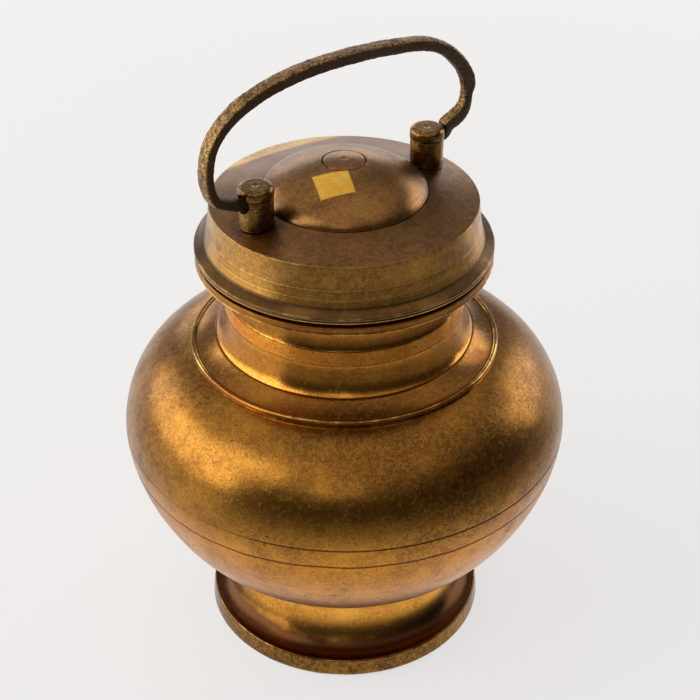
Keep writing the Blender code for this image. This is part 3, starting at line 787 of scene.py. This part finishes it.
class Nodes:
    """A small helper that builds one material's node tree."""

    def __init__(self, name):
        self.material = bpy.data.materials.new(name)
        self.material.use_nodes = True
        self.tree = self.material.node_tree
        self.shader = self.tree.nodes["Principled BSDF"]

    def add(self, kind, inputs=None, **settings):
        node = self.tree.nodes.new(kind)
        for key, value in settings.items():
            setattr(node, key, value)
        for key, value in (inputs or {}).items():
            self.join(value, node.inputs[key])
        return node

    def join(self, value, socket):
        if isinstance(value, bpy.types.NodeSocket):
            self.tree.links.new(value, socket)
        else:
            socket.default_value = value

    def math(self, operation, first, second=None, third=None, clamp=False):
        node = self.add("ShaderNodeMath", operation=operation, use_clamp=clamp)
        for socket, value in zip(node.inputs, (first, second, third)):
            if value is not None:
                self.join(value, socket)
        return node.outputs[0]

    def remap(self, value, low, high, to_low=0.0, to_high=1.0):
        limits = {"Value": value, "From Min": low, "From Max": high, "To Min": to_low, "To Max": to_high}
        node = self.add("ShaderNodeMapRange", limits)
        node.interpolation_type = "SMOOTHSTEP"
        return node.outputs["Result"]

    def mix(self, share, first, second, blend="MIX"):
        node = self.add("ShaderNodeMix", data_type="RGBA", blend_type=blend)
        self.join(share, node.inputs["Factor"])
        for socket, value in ((node.inputs[6], first), (node.inputs[7], second)):
            if isinstance(value, tuple):
                value = (*value, 1.0) if len(value) == 3 else value
            self.join(value, socket)
        return node.outputs[2]

    def noise(self, vector, scale, detail=3.0, roughness=0.55):
        inputs = {"Vector": vector, "Scale": scale, "Detail": detail, "Roughness": roughness}
        return self.add("ShaderNodeTexNoise", inputs).outputs["Fac"]

    def vector(self, operation, first, second=None, output="Vector"):
        inputs = {0: first} if second is None else {0: first, 1: second}
        return self.add("ShaderNodeVectorMath", inputs, operation=operation).outputs[output]

    def place(self):
        """The piece's own coordinates, in metres."""
        return self.add("ShaderNodeTexCoord").outputs["Object"]

    def total(self, *values):
        """The sum of several values, or of (value, share) pairs."""
        scaled = [self.math("MULTIPLY", *value) if isinstance(value, tuple) else value for value in values]
        result = scaled[0]
        for value in scaled[1:]:
            result = self.math("ADD", result, value)
        return result

    def bump(self, height, strength, distance):
        node = self.add("ShaderNodeBump", {"Strength": strength, "Distance": distance, "Height": height})
        self.join(node.outputs[0], self.shader.inputs["Normal"])

    def attribute(self, name):
        return self.add("ShaderNodeAttribute", attribute_name=name).outputs["Fac"]


def lathe_coordinates(nodes, place, centre):
    """Coordinates of radius, height and a little of the angle, so that a pattern runs in rings."""
    parts = nodes.add("ShaderNodeSeparateXYZ", {0: nodes.vector("ADD", place, (-centre[0], -centre[1], 0.0))})
    x, y, height = parts.outputs
    flat = nodes.add("ShaderNodeCombineXYZ", {0: x, 1: y}).outputs[0]
    radius = nodes.vector("LENGTH", flat, output="Value")
    turn = nodes.math("MULTIPLY", nodes.math("COSINE", nodes.math("ARCTAN2", y, x)), 0.0012)
    return nodes.add("ShaderNodeCombineXYZ", {0: radius, 1: height, 2: turn}).outputs[0], radius, height


def scaled(colour, *shares):
    """A colour with each channel taken down by its own share."""
    return tuple(channel * share for channel, share in zip(colour, shares))


def region_tones(nodes, tones, place, height, below, band):
    """The three tones, changed below a height and in a pitted band, and the share inside the band."""
    inside = None
    if below:
        level, lower_tones, half = below
        under = nodes.remap(height, (level + half) * MM, (level - half) * MM)
        tones = [nodes.mix(under, upper, lower) for upper, lower in zip(tones, lower_tones)]
    if band:
        bottom, top, pitted_tones = band
        wander = nodes.math("SUBTRACT", nodes.noise(place, 70.0, 4.0, 0.6), 0.5)
        wander = nodes.math("MULTIPLY", wander, 0.0028)
        inside = nodes.remap(nodes.math("ADD", height, wander), (bottom - 0.35) * MM, (bottom + 0.35) * MM)
        inside = nodes.math("MULTIPLY", inside, nodes.remap(height, (top + 0.1) * MM, (top - 0.1) * MM))
        tones = [nodes.mix(inside, plain, pitted) for plain, pitted in zip(tones, pitted_tones)]
    return tones, inside


def crown_sheen(nodes, colour, dark, place, radius, height, fine, blotch, sheen_band):
    """A painted sheen on the crown beyond a straight chord, and darker between the chord and the dome."""
    towards, distance, bright_metal = sheen_band
    chord = nodes.vector("DOT_PRODUCT", place, towards, "Value")
    beyond = nodes.remap(chord, (distance - 1.6) * MM, (distance + 1.2) * MM)
    shade = nodes.math("MULTIPLY", nodes.remap(chord, 0.010, 0.030), nodes.math("SUBTRACT", 1.0, beyond))
    off_dome = nodes.remap(radius, 33.3 * MM, 33.8 * MM)
    shade = nodes.math("MULTIPLY", shade, nodes.math("MULTIPLY", off_dome, 0.60))
    colour = nodes.mix(shade, colour, scaled(dark, 0.6, 0.55, 0.5))
    edge_top = crown_top(LID_EDGE)
    # Painted sheen: beyond the chord the crown takes the sheen's bright colour.
    sheen = nodes.math("MULTIPLY", beyond, nodes.remap(height, (edge_top - 0.8) * MM, (edge_top - 0.2) * MM))
    uneven = nodes.remap(nodes.math("ADD", fine, blotch), 0.80, 1.02, 0.5, 0.9)
    return nodes.mix(nodes.math("MULTIPLY", sheen, uneven), colour, bright_metal)


def post_shadow(nodes, colour, dark, place, blotch, offset):
    """A painted shadow on the crown round one post."""
    from_post = nodes.vector("ADD", place, (-offset * MM, 0.0, 0.0))
    far = nodes.vector("LENGTH", nodes.vector("MULTIPLY", from_post, (1.0, 1.0, 0.0)), output="Value")
    near = nodes.remap(far, 14.0 * MM, 7.0 * MM)
    uneven = nodes.remap(blotch, 0.62, 0.40, 0.45, 0.95)
    return nodes.mix(nodes.math("MULTIPLY", near, uneven), colour, scaled(dark, 0.30, 0.22, 0.30))


def aged_brass(name, tones, rough, anisotropic, coat, pits, rings, centre=(0.0, 0.0), seed=0.0,
               below=None, band=None, sheen_band=None, posts=(), darkening_colour=None):
    """Brass touched by hands for years: mottled patina, pits, turning marks, worn edges, painted shade in
    creases, hollows and recesses, dark joints.

    tones are dark patina, middle and bright brass. below gives a height in millimetres,
    the tones of the brass under it and half the width over which they change. band gives
    two heights and the tones of a pitted band between them, with an uneven lower edge.
    A direction, a distance in millimetres and a colour, when given, put a painted sheen on a crown
    beyond that distance. posts gives the places of posts, with a painted shadow on the crown
    round each. The last colour, when given, is painted where the mesh marks darkening: painted shade, and on
    the lid a darker tone.
    """
    nodes = Nodes(name)
    surface = nodes.place()
    place = nodes.vector("ADD", surface, (seed * 0.37, seed * 0.11, 0.0)) if seed else surface
    lathe, radius, level = lathe_coordinates(nodes, surface, centre)
    dark, bright = tones[0], tones[2]
    cloud = nodes.noise(place, 22.0, 5.0, 0.6)
    blotch = nodes.noise(place, 95.0, 5.0, 0.65)
    grain = nodes.noise(place, 1500.0, 2.0, 0.6)
    fine = nodes.noise(place, 520.0, 3.0, 0.6)
    ring = nodes.noise(lathe, 1300.0, 3.0, 0.7)
    broad_ring = nodes.noise(lathe, 260.0, 2.0, 0.5)
    edge = nodes.attribute("edge")
    hollow = nodes.attribute("hollow")

    patina = nodes.total((cloud, 0.55), (blotch, 0.45), (nodes.math("SUBTRACT", broad_ring, 0.5), 0.132))
    patina = nodes.remap(patina, 0.40, 0.62)
    tones, inside = region_tones(nodes, tones, place, level, below, band)
    colour = nodes.mix(patina, tones[0], tones[1])
    glow = nodes.remap(nodes.total((fine, 0.5), (grain, 0.5)), 0.42, 0.66, 0.0, 0.55)
    colour = nodes.mix(glow, colour, tones[2])
    colour = nodes.mix(nodes.remap(ring, 0.35, 0.7, 0.0, 0.35 * rings), colour, tones[0])

    spot = nodes.remap(nodes.noise(place, 420.0, 2.0, 0.45), 0.67, 0.73)
    where = nodes.remap(nodes.noise(place, 48.0, 2.0, 0.5), 0.45, 0.62)
    speck = nodes.math("MULTIPLY", nodes.remap(fine, 0.60, 0.70), 0.6 * pits)
    pit = nodes.math("MAXIMUM", nodes.math("MULTIPLY", nodes.math("MULTIPLY", spot, where), pits), speck)
    pepper = nodes.remap(nodes.noise(place, 1250.0, 3.0, 0.65), 0.54, 0.68, 0.0, 0.75 * pits)
    colour = nodes.mix(pepper, colour, scaled(dark, 0.55, 0.48, 0.5))
    colour = nodes.mix(pit, colour, scaled(dark, 0.35, 0.25, 0.2))
    if band:
        peppered = nodes.remap(nodes.noise(place, 1500.0, 3.0, 0.6), 0.48, 0.64, 0.0, 0.65)
        colour = nodes.mix(nodes.math("MULTIPLY", peppered, inside), colour, BAND_PEPPER)
    tarnish = nodes.remap(nodes.noise(place, 34.0, 6.0, 0.7), 0.56, 0.70, 0.0, 0.5)
    colour = nodes.mix(tarnish, colour, scaled(dark, 0.75, 0.62, 0.9))
    # Painted sheen on the crown beyond a chord.
    if sheen_band:
        colour = crown_sheen(nodes, colour, dark, place, radius, level, fine, blotch, sheen_band)
    # Painted shadows on the crown round the posts.
    for offset in posts:
        colour = post_shadow(nodes, colour, dark, place, blotch, offset)

    # Painted shade in recesses, and the lid's darker tone, from the mesh's darkening values.
    uneven = nodes.remap(blotch, 0.62, 0.42, 0.93, 1.07)
    darkening = nodes.math("MULTIPLY", nodes.attribute("darkening"), uneven, clamp=True)
    colour = nodes.mix(darkening, colour, darkening_colour or scaled(dark, 0.30, 0.28, 0.35))
    brightened = nodes.math("MULTIPLY", edge, nodes.remap(blotch, 0.38, 0.62, 0.25, 1.1))
    worn = nodes.remap(brightened, 0.20, 0.60, 0.0, 0.75)
    colour = nodes.mix(worn, colour, (min(1, bright[0] * 1.2), min(1, bright[1] * 1.25), bright[2] * 1.5))
    # Painted shade darkens creases, grooves and hollows; the same mask darkens dark joints such as the seam.
    tight = nodes.remap(nodes.math("MULTIPLY", edge, -1.0), 0.10, 0.34, 0.0, 0.92)
    deep = nodes.remap(nodes.math("MULTIPLY", hollow, -1.0), 0.14, 0.5, 0.0, 0.55)
    crease_shade_and_joints = nodes.math("MAXIMUM", tight, deep)
    colour = nodes.mix(crease_shade_and_joints, colour, scaled(dark, 0.26, 0.20, 0.16))
    nodes.join(colour, nodes.shader.inputs["Base Color"])

    dull = nodes.math("MAXIMUM", nodes.math("MAXIMUM", pit, crease_shade_and_joints), tarnish)
    bright_metal = nodes.math("SUBTRACT", 1.0, patina)
    roughness = nodes.total(rough - 0.06, (bright_metal, 0.05), (ring, 0.06), (dull, 0.25))
    roughness = nodes.math("SUBTRACT", roughness, nodes.math("MULTIPLY", worn, 0.06), clamp=True)
    if band:
        roughness = nodes.math("ADD", roughness, nodes.math("MULTIPLY", inside, 0.28), clamp=True)
    nodes.join(roughness, nodes.shader.inputs["Roughness"])
    metal = nodes.math("SUBTRACT", 1.0, nodes.math("MULTIPLY", pit, 0.25))
    metal = nodes.math("SUBTRACT", metal, nodes.math("MULTIPLY", tarnish, 0.12), clamp=True)
    nodes.join(metal, nodes.shader.inputs["Metallic"])

    height = nodes.total((ring, 0.35 * rings), (grain, 0.25), (fine, 0.45))
    nodes.bump(nodes.math("SUBTRACT", height, nodes.math("MULTIPLY", pit, 1.1)), 0.55, 0.00012)
    nodes.shader.inputs["Coat Weight"].default_value = coat
    nodes.shader.inputs["Coat Roughness"].default_value = 0.3
    nodes.shader.inputs["Anisotropic"].default_value = anisotropic
    nodes.shader.inputs["Anisotropic Rotation"].default_value = 0.25
    tangent = nodes.add("ShaderNodeTangent", direction_type="RADIAL", axis="Z")
    nodes.join(tangent.outputs[0], nodes.shader.inputs["Tangent"])
    return nodes.material


def forged_bronze(name):
    """The bail: dark brown with bright brass where hands and the hammer have worn it, and a painted sheen on
    its outer face, which hands also wear, and on the inner face near the right end.
    """
    nodes = Nodes(name)
    place = nodes.place()
    blotch = nodes.noise(place, 130.0, 5.0, 0.65)
    fine = nodes.noise(place, 700.0, 4.0, 0.65)
    grain = nodes.noise(place, 1700.0, 2.0, 0.6)
    edge = nodes.attribute("edge")
    outer = nodes.attribute("outer")
    share = nodes.attribute("share")
    # Painted sheen: the outer face, turned to the sky, is brighter along the whole bar, partly as wear from
    # hands; the inner face near the right end is brighter as a painted reflection of the lit left side.
    to_left = nodes.remap(share, 0.40, 0.05, 0.62, 0.72)
    to_right = nodes.remap(share, 0.83, 0.93, 0.0, 0.62)
    outside = nodes.math("MULTIPLY", nodes.remap(outer, 0.25, 0.85), to_left)
    inside = nodes.math("MULTIPLY", nodes.remap(outer, -0.25, -0.8), to_right)
    brightened = nodes.math("MAXIMUM", outside, inside)
    bright_metal = nodes.remap(nodes.total((fine, 0.8), (blotch, 0.4), (brightened, 0.42), (edge, 0.06)), 0.68, 1.10)
    colour = nodes.mix(bright_metal, (0.078, 0.040, 0.016), (0.38, 0.210, 0.085))
    glint = nodes.math("MULTIPLY", nodes.remap(grain, 0.50, 0.62), bright_metal)
    colour = nodes.mix(glint, colour, (0.78, 0.54, 0.22))
    pit = nodes.remap(fine, 0.42, 0.34, 0.0, 0.7)
    colour = nodes.mix(pit, colour, (0.035, 0.020, 0.012))
    nodes.join(colour, nodes.shader.inputs["Base Color"])
    nodes.join(nodes.remap(bright_metal, 0.0, 1.0, 0.46, 0.38), nodes.shader.inputs["Roughness"])
    nodes.join(nodes.remap(bright_metal, 0.0, 0.6, 0.60, 0.98), nodes.shader.inputs["Metallic"])
    nodes.bump(nodes.total((fine, 1.0), (grain, 0.4), (blotch, 0.8)), 0.9, 0.0005)
    return nodes.material


def gold_foil(name):
    """Bright gold foil, creased and a little scuffed."""
    nodes = Nodes(name)
    place = nodes.place()
    blotch = nodes.noise(place, 260.0, 4.0, 0.6)
    fine = nodes.noise(place, 1100.0, 3.0, 0.6)
    edge = nodes.attribute("edge")
    colour = nodes.mix(nodes.remap(blotch, 0.42, 0.64), (1.0, 0.50, 0.035), (1.0, 0.64, 0.080))
    colour = nodes.mix(nodes.remap(fine, 0.60, 0.70, 0.0, 0.6), colour, (0.42, 0.19, 0.02))
    colour = nodes.mix(nodes.math("MULTIPLY", edge, 0.5), colour, (0.40, 0.20, 0.03))
    nodes.join(colour, nodes.shader.inputs["Base Color"])
    nodes.join(nodes.remap(blotch, 0.3, 0.7, 0.50, 0.36), nodes.shader.inputs["Roughness"])
    nodes.shader.inputs["Metallic"].default_value = 0.05
    nodes.bump(blotch, 0.5, 0.0002)
    return nodes.material


def oiled_leather(name):
    """Dark oiled leather of the washer."""
    nodes = Nodes(name)
    place = nodes.place()
    cells = nodes.add("ShaderNodeTexVoronoi", {"Vector": place, "Scale": 900.0}).outputs["Distance"]
    blotch = nodes.noise(place, 140.0, 4.0, 0.6)
    colour = nodes.mix(nodes.remap(blotch, 0.4, 0.65), (0.040, 0.020, 0.010), (0.095, 0.048, 0.022))
    nodes.join(colour, nodes.shader.inputs["Base Color"])
    nodes.join(nodes.remap(cells, 0.0, 0.6, 0.75, 0.55), nodes.shader.inputs["Roughness"])
    nodes.bump(cells, 0.5, 0.0002)
    return nodes.material


# View

CAMERA_AZIMUTH = -36.3
CAMERA_ELEVATION = 34.263
CAMERA_DISTANCE = 0.69413
CAMERA_TARGET = Vector((0.001874, -0.001377, 0.130955))
FOCAL_PIXELS = 1649.05
FRAME_PIXELS = 700
SENSOR = 36.0


def direction(azimuth, elevation):
    """Unit vector from the jug, with azimuth counted from the camera's side towards its right."""
    turn = radians(CAMERA_AZIMUTH + azimuth)
    rise = radians(elevation)
    return Vector((sin(turn) * cos(rise), -cos(turn) * cos(rise), sin(rise)))


# Colours: dark patina, middle brass, bright brass
BELLY_TONES = ((0.20, 0.070, 0.007), (0.41, 0.165, 0.017), (0.66, 0.36, 0.060))
LOWER_TONES = ((0.35, 0.112, 0.007), (0.64, 0.240, 0.014), (0.85, 0.43, 0.034))
NECK_TONES = ((0.48, 0.155, 0.012), (0.80, 0.305, 0.030), (0.96, 0.58, 0.120))
COLLAR_TONES = ((0.22, 0.076, 0.009), (0.40, 0.158, 0.018), (0.58, 0.32, 0.065))
BAND_TONES = ((0.70, 0.240, 0.016), (0.96, 0.400, 0.042), (1.00, 0.55, 0.090))
LID_TONES = ((0.17, 0.068, 0.016), (0.33, 0.142, 0.034), (0.56, 0.31, 0.085))
SKIRT_TONES = ((0.34, 0.138, 0.018), (0.64, 0.310, 0.050), (0.86, 0.54, 0.130))
FOOT_TONES = ((0.60, 0.225, 0.022), (0.90, 0.390, 0.050), (0.98, 0.62, 0.130))
RIM_TONES = ((0.10, 0.039, 0.005), (0.27, 0.108, 0.012), (0.56, 0.31, 0.060))
POST_TONES = ((0.13, 0.055, 0.012), (0.33, 0.150, 0.028), (0.72, 0.42, 0.100))
BAND_PEPPER = (0.300, 0.092, 0.010)
# Colour of the painted shade in the foot's corner
FOOT_SHADE = (0.085, 0.030, 0.005)
# Colour of the painted sheen on the crown's rear
CROWN_SHEEN = (0.62, 0.36, 0.088)


# Lines of wear or darkening: height, reach, wear over 0 or darkening under 0, least radius. The darkening is
# dark joints, grooves and a corner, and painted shade under the lid's flange.
SEAM_DIRT = (SEAM, 0.42, -0.25, 0)
HAIRLINE_DIRT = (HAIRLINE, 0.42, -0.22, 0)
COLLAR_LINES = ((bead_top(), 0.4, 0.4, 62.0), (COLLAR_TOP, 0.35, 0.4, 48.0))
# The first mouth line is painted shade on the lip's top, under the lid's flange; the second is a worn edge.
MOUTH_LINES = ((LIP_TOP - 0.5, 1.2, -0.24, 59.0), (LIP_BOTTOM + 0.1, 0.35, 0.6, 60.0))
LID_LINES = (
    (187.4, 0.7, -0.12, 56), (185.45, 0.22, 0.42, 60), (183.4, 0.3, 0.45, 60), (184.35, 0.35, -0.34, 60),
)


def dress_jug():
    foot = aged_brass("foot_patina", FOOT_TONES, rough=0.24, anisotropic=0.5, coat=0.2, pits=0.35, rings=0.7,
                      below=(9.0, RIM_TONES, 0.4), darkening_colour=FOOT_SHADE)
    belly = aged_brass("belly_patina", BELLY_TONES, rough=0.30, anisotropic=0.2, coat=0.22, pits=0.8,
                       rings=0.25, below=(97.0, LOWER_TONES, 8.0))
    under = aged_brass("lower_belly_patina", LOWER_TONES, rough=0.30, anisotropic=0.2, coat=0.08, pits=0.8,
                       rings=0.25)
    neck = aged_brass("neck_patina", NECK_TONES, rough=0.23, anisotropic=0.6, coat=0.2, pits=0.5, rings=0.6,
                      below=(COLLAR_LINE, COLLAR_TONES, 0.4), band=(BAND_BOTTOM, COLLAR_TOP, BAND_TONES))

    mesh = turned("foot_turned", foot_outline(), bend=foot_bend, darkening=foot_shade)
    link("foot_turned", mesh, "jug", foot, ["foot_ring"])
    mesh = turned("belly_lower", lower_outline(), bend=belly_bend, rough=0.14, lines=[SEAM_DIRT])
    link("belly_lower", mesh, "jug", under, ["lower_bowl"])
    marks = [SEAM_DIRT, HAIRLINE_DIRT]
    mesh = turned("belly_upper", upper_outline(), bend=belly_bend, rough=0.14, lines=marks)
    link("belly_upper", mesh, "jug", belly, ["upper_bowl"])
    mesh = turned("collar_turned", collar_outline(), rough=0.05, darkening=flare_shade, lines=COLLAR_LINES)
    link("collar_turned", mesh, "jug", neck, ["neck_collar"])
    mesh = turned("mouth_turned", mouth_outline(), bend=lip_bend, rough=0.05, darkening=throat_shade,
                  lines=MOUTH_LINES)
    link("mouth_turned", mesh, "jug", neck, ["threaded_mouth"])
    helix("mouth_thread", THREAD_ROOT, THREAD_START, 2.0, False, "jug", neck)
    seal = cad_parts["lid_seal"]
    seal.data.materials.clear()
    seal.data.materials.append(oiled_leather("seal_oiled"))


def dress_lid():
    # The lid has a painted sheen on the crown's rear and painted shadows round the posts.
    lid = aged_brass("lid_patina", LID_TONES, rough=0.32, anisotropic=0.55, coat=0.4, pits=0.35, rings=0.8,
                     below=(crown_top(LID_EDGE) - 0.3, SKIRT_TONES, 0.4),
                     sheen_band=(direction(-147, 0), 45.8, CROWN_SHEEN), posts=(-POST_OFFSET, POST_OFFSET))

    mesh = turned("lid_turned", lid_outline(), bend=lid_bend, rough=0.05, darkening=lid_darkening, lines=LID_LINES)
    link("lid_turned", mesh, "lid", lid, ["lid_cap"])
    helix("lid_thread", LID_BORE, THREAD_START + PITCH / 2, 1.5, True, "lid", lid)
    mesh = turned("dome_turned", dome_outline(), rough=0.05)
    link("dome_turned", mesh, "lid", lid, ["lid_dome"])
    mesh = turned("plug_turned", plug_outline(), 120, rough=0.02)
    link("plug_turned", mesh, "lid", lid, ["dome_plug"])
    for side, word in ((-1, "left"), (1, "right")):
        post = aged_brass("post_patina_" + word, POST_TONES, rough=0.26, anisotropic=0.5, coat=0.25, pits=0.4,
                          rings=0.6, centre=(side * POST_OFFSET * MM, 0.0), seed=side + 2.0)
        link("post_turned_" + word, post_mesh(side), "lid", post, ["post_" + word])


def dress_bail():
    bail = forged_bronze("bail_forged")
    link("bail_bar", bail_mesh(), "bail", bail, ["bail_handle"], sharp=60)
    for name, route in zip(("bail_pin_left", "bail_pin_right"), PIN_ROUTES):
        link(name, pin_mesh(name, route), "bail", bail)


def dress_foil():
    link("foil_patch", foil_mesh(), "lid", gold_foil("foil_gold"), sharp=50)


# Studio

def make_camera():
    """The photograph's camera: its angle and its perspective."""
    data = bpy.data.cameras.new("camera")
    data.sensor_width = SENSOR
    data.lens = FOCAL_PIXELS / FRAME_PIXELS * SENSOR
    data.clip_start = 0.01
    data.clip_end = 100
    camera = bpy.data.objects.new("camera", data)
    bpy.context.scene.collection.objects.link(camera)
    back = direction(0, CAMERA_ELEVATION)
    camera.location = CAMERA_TARGET + back * CAMERA_DISTANCE
    camera.rotation_mode = "QUATERNION"
    camera.rotation_quaternion = (-back).to_track_quat("-Z", "Y")
    bpy.context.scene.camera = camera


# Soft boxes: name, azimuth from the camera towards its right, elevation, distance,
# width, height, watts, colour
SOFT_BOXES = (
    ("left_low", -94, 21, 1.5, 2.3, 0.8, 14, (1.0, 0.98, 0.95)),
    ("left_high", -60, 42, 1.5, 0.9, 0.5, 2.6, (1.0, 0.97, 0.93)),
    ("front", -5, 37, 1.5, 0.50, 0.38, 0.55, (1.0, 0.98, 0.90)),
    ("right_back", 125, 18, 1.5, 1.0, 0.78, 5.1, (0.98, 0.97, 1.0)),
    ("back", -173, 15, 1.8, 1.4, 0.5, 3.9, (0.97, 0.98, 1.0)),
)


# Colour of the paper behind and under the jug
PAPER = (0.93, 0.925, 0.925, 1.0)

# Glow of the studio's walls: towards, cosines and strengths at the glow's rim and middle
WORLD_GLOWS = (
    (direction(-20, 84), 0.45, 0.90, 0.0, 0.56),
    (direction(-145, 4), -0.2, 0.9, 0.040, 0.25),
)


def make_studio():
    """Soft boxes round the jug and a dim glow of walls in the world, with plain paper for the camera."""
    for name, azimuth, elevation, distance, width, height, watts, colour in SOFT_BOXES:
        data = bpy.data.lights.new(name, "AREA")
        data.shape = "RECTANGLE"
        data.size = width
        data.size_y = height
        data.energy = watts
        data.color = colour
        lamp = bpy.data.objects.new(name, data)
        bpy.context.scene.collection.objects.link(lamp)
        towards = direction(azimuth, elevation)
        lamp.location = CAMERA_TARGET + towards * distance
        lamp.rotation_mode = "QUATERNION"
        lamp.rotation_quaternion = (-towards).to_track_quat("-Z", "Y")
        lamp.visible_camera = False
    world = bpy.data.worlds.new("studio")
    bpy.context.scene.world = world
    world.use_nodes = True
    tree = world.node_tree
    back = tree.nodes["Background"]
    coords = tree.nodes.new("ShaderNodeTexCoord")
    parts = []
    for towards, low, high, dark, bright in WORLD_GLOWS:
        dot = tree.nodes.new("ShaderNodeVectorMath")
        dot.operation = "DOT_PRODUCT"
        dot.inputs[1].default_value = towards
        tree.links.new(coords.outputs["Generated"], dot.inputs[0])
        ramp = tree.nodes.new("ShaderNodeMapRange")
        ramp.interpolation_type = "SMOOTHSTEP"
        for key, value in (("From Min", low), ("From Max", high), ("To Min", dark), ("To Max", bright)):
            ramp.inputs[key].default_value = value
        tree.links.new(dot.outputs["Value"], ramp.inputs["Value"])
        parts.append(ramp.outputs["Result"])
    total = tree.nodes.new("ShaderNodeMath")
    total.operation = "ADD"
    for part, socket in zip(parts, total.inputs):
        tree.links.new(part, socket)
    tree.links.new(total.outputs[0], back.inputs["Strength"])
    back.inputs["Color"].default_value = (1.0, 0.93, 0.84, 1.0)
    paper = tree.nodes.new("ShaderNodeBackground")
    paper.inputs["Color"].default_value = PAPER
    path = tree.nodes.new("ShaderNodeLightPath")
    seen = tree.nodes.new("ShaderNodeMixShader")
    tree.links.new(path.outputs["Is Camera Ray"], seen.inputs[0])
    tree.links.new(back.outputs[0], seen.inputs[1])
    tree.links.new(paper.outputs[0], seen.inputs[2])
    tree.links.new(seen.outputs[0], tree.nodes["World Output"].inputs["Surface"])


def make_floor():
    """A wide pale floor that glows: even paper for camera rays and a painted glow for glossy rays.

    It keeps the jug's shadow and fades to plain paper; in reflections it glows brightly near and behind the
    jug and dimly further out in front.
    """
    reach = 14.0
    corners = [(-reach, -reach, 0), (reach, -reach, 0), (reach, reach, 0), (-reach, reach, 0)]
    mesh = bpy.data.meshes.new("floor")
    mesh.from_pydata(corners, [], [(0, 1, 2, 3)])
    floor = bpy.data.objects.new("floor", mesh)
    bpy.context.scene.collection.objects.link(floor)
    nodes = Nodes("floor_paper")
    tree = nodes.tree
    shader = nodes.shader
    shader.inputs["Base Color"].default_value = (0.86, 0.855, 0.85, 1.0)
    shader.inputs["Roughness"].default_value = 0.8
    shader.inputs["Specular IOR Level"].default_value = 0.2
    place = nodes.place()
    away = nodes.vector("LENGTH", place, output="Value")
    # Painted glow seen only in reflections: bright near and behind the jug, dim further out in front.
    near = nodes.remap(away, 0.50, 0.15, 0.0, 0.80)
    front = nodes.vector("DOT_PRODUCT", place, direction(32, 0), "Value")
    behind = nodes.remap(front, 0.16, -0.08, 0.0, 0.80)
    reflected_glow = nodes.math("ADD", nodes.math("MAXIMUM", near, behind), 0.18, clamp=True)
    path = nodes.add("ShaderNodeLightPath")
    glossy = nodes.math("MAXIMUM", path.outputs["Is Glossy Ray"], path.outputs["Is Transmission Ray"])
    strength = nodes.math("ADD", nodes.math("MULTIPLY", glossy, reflected_glow), path.outputs["Is Camera Ray"])
    pale = nodes.add("ShaderNodeEmission", {"Color": PAPER, "Strength": strength})
    evened = nodes.remap(away, 0.35, 1.60, 0.72, 1.0)
    share = nodes.total((path.outputs["Is Camera Ray"], evened), (glossy, 0.85))
    both = nodes.add("ShaderNodeMixShader", {0: share, 1: shader.outputs[0], 2: pale.outputs[0]})
    tree.links.new(both.outputs[0], tree.nodes["Material Output"].inputs["Surface"])
    mesh.materials.append(nodes.material)


make_camera()
dress_jug()
dress_lid()
dress_bail()
dress_foil()
make_floor()
make_studio()
bpy.context.scene.view_settings.view_transform = "Standard"
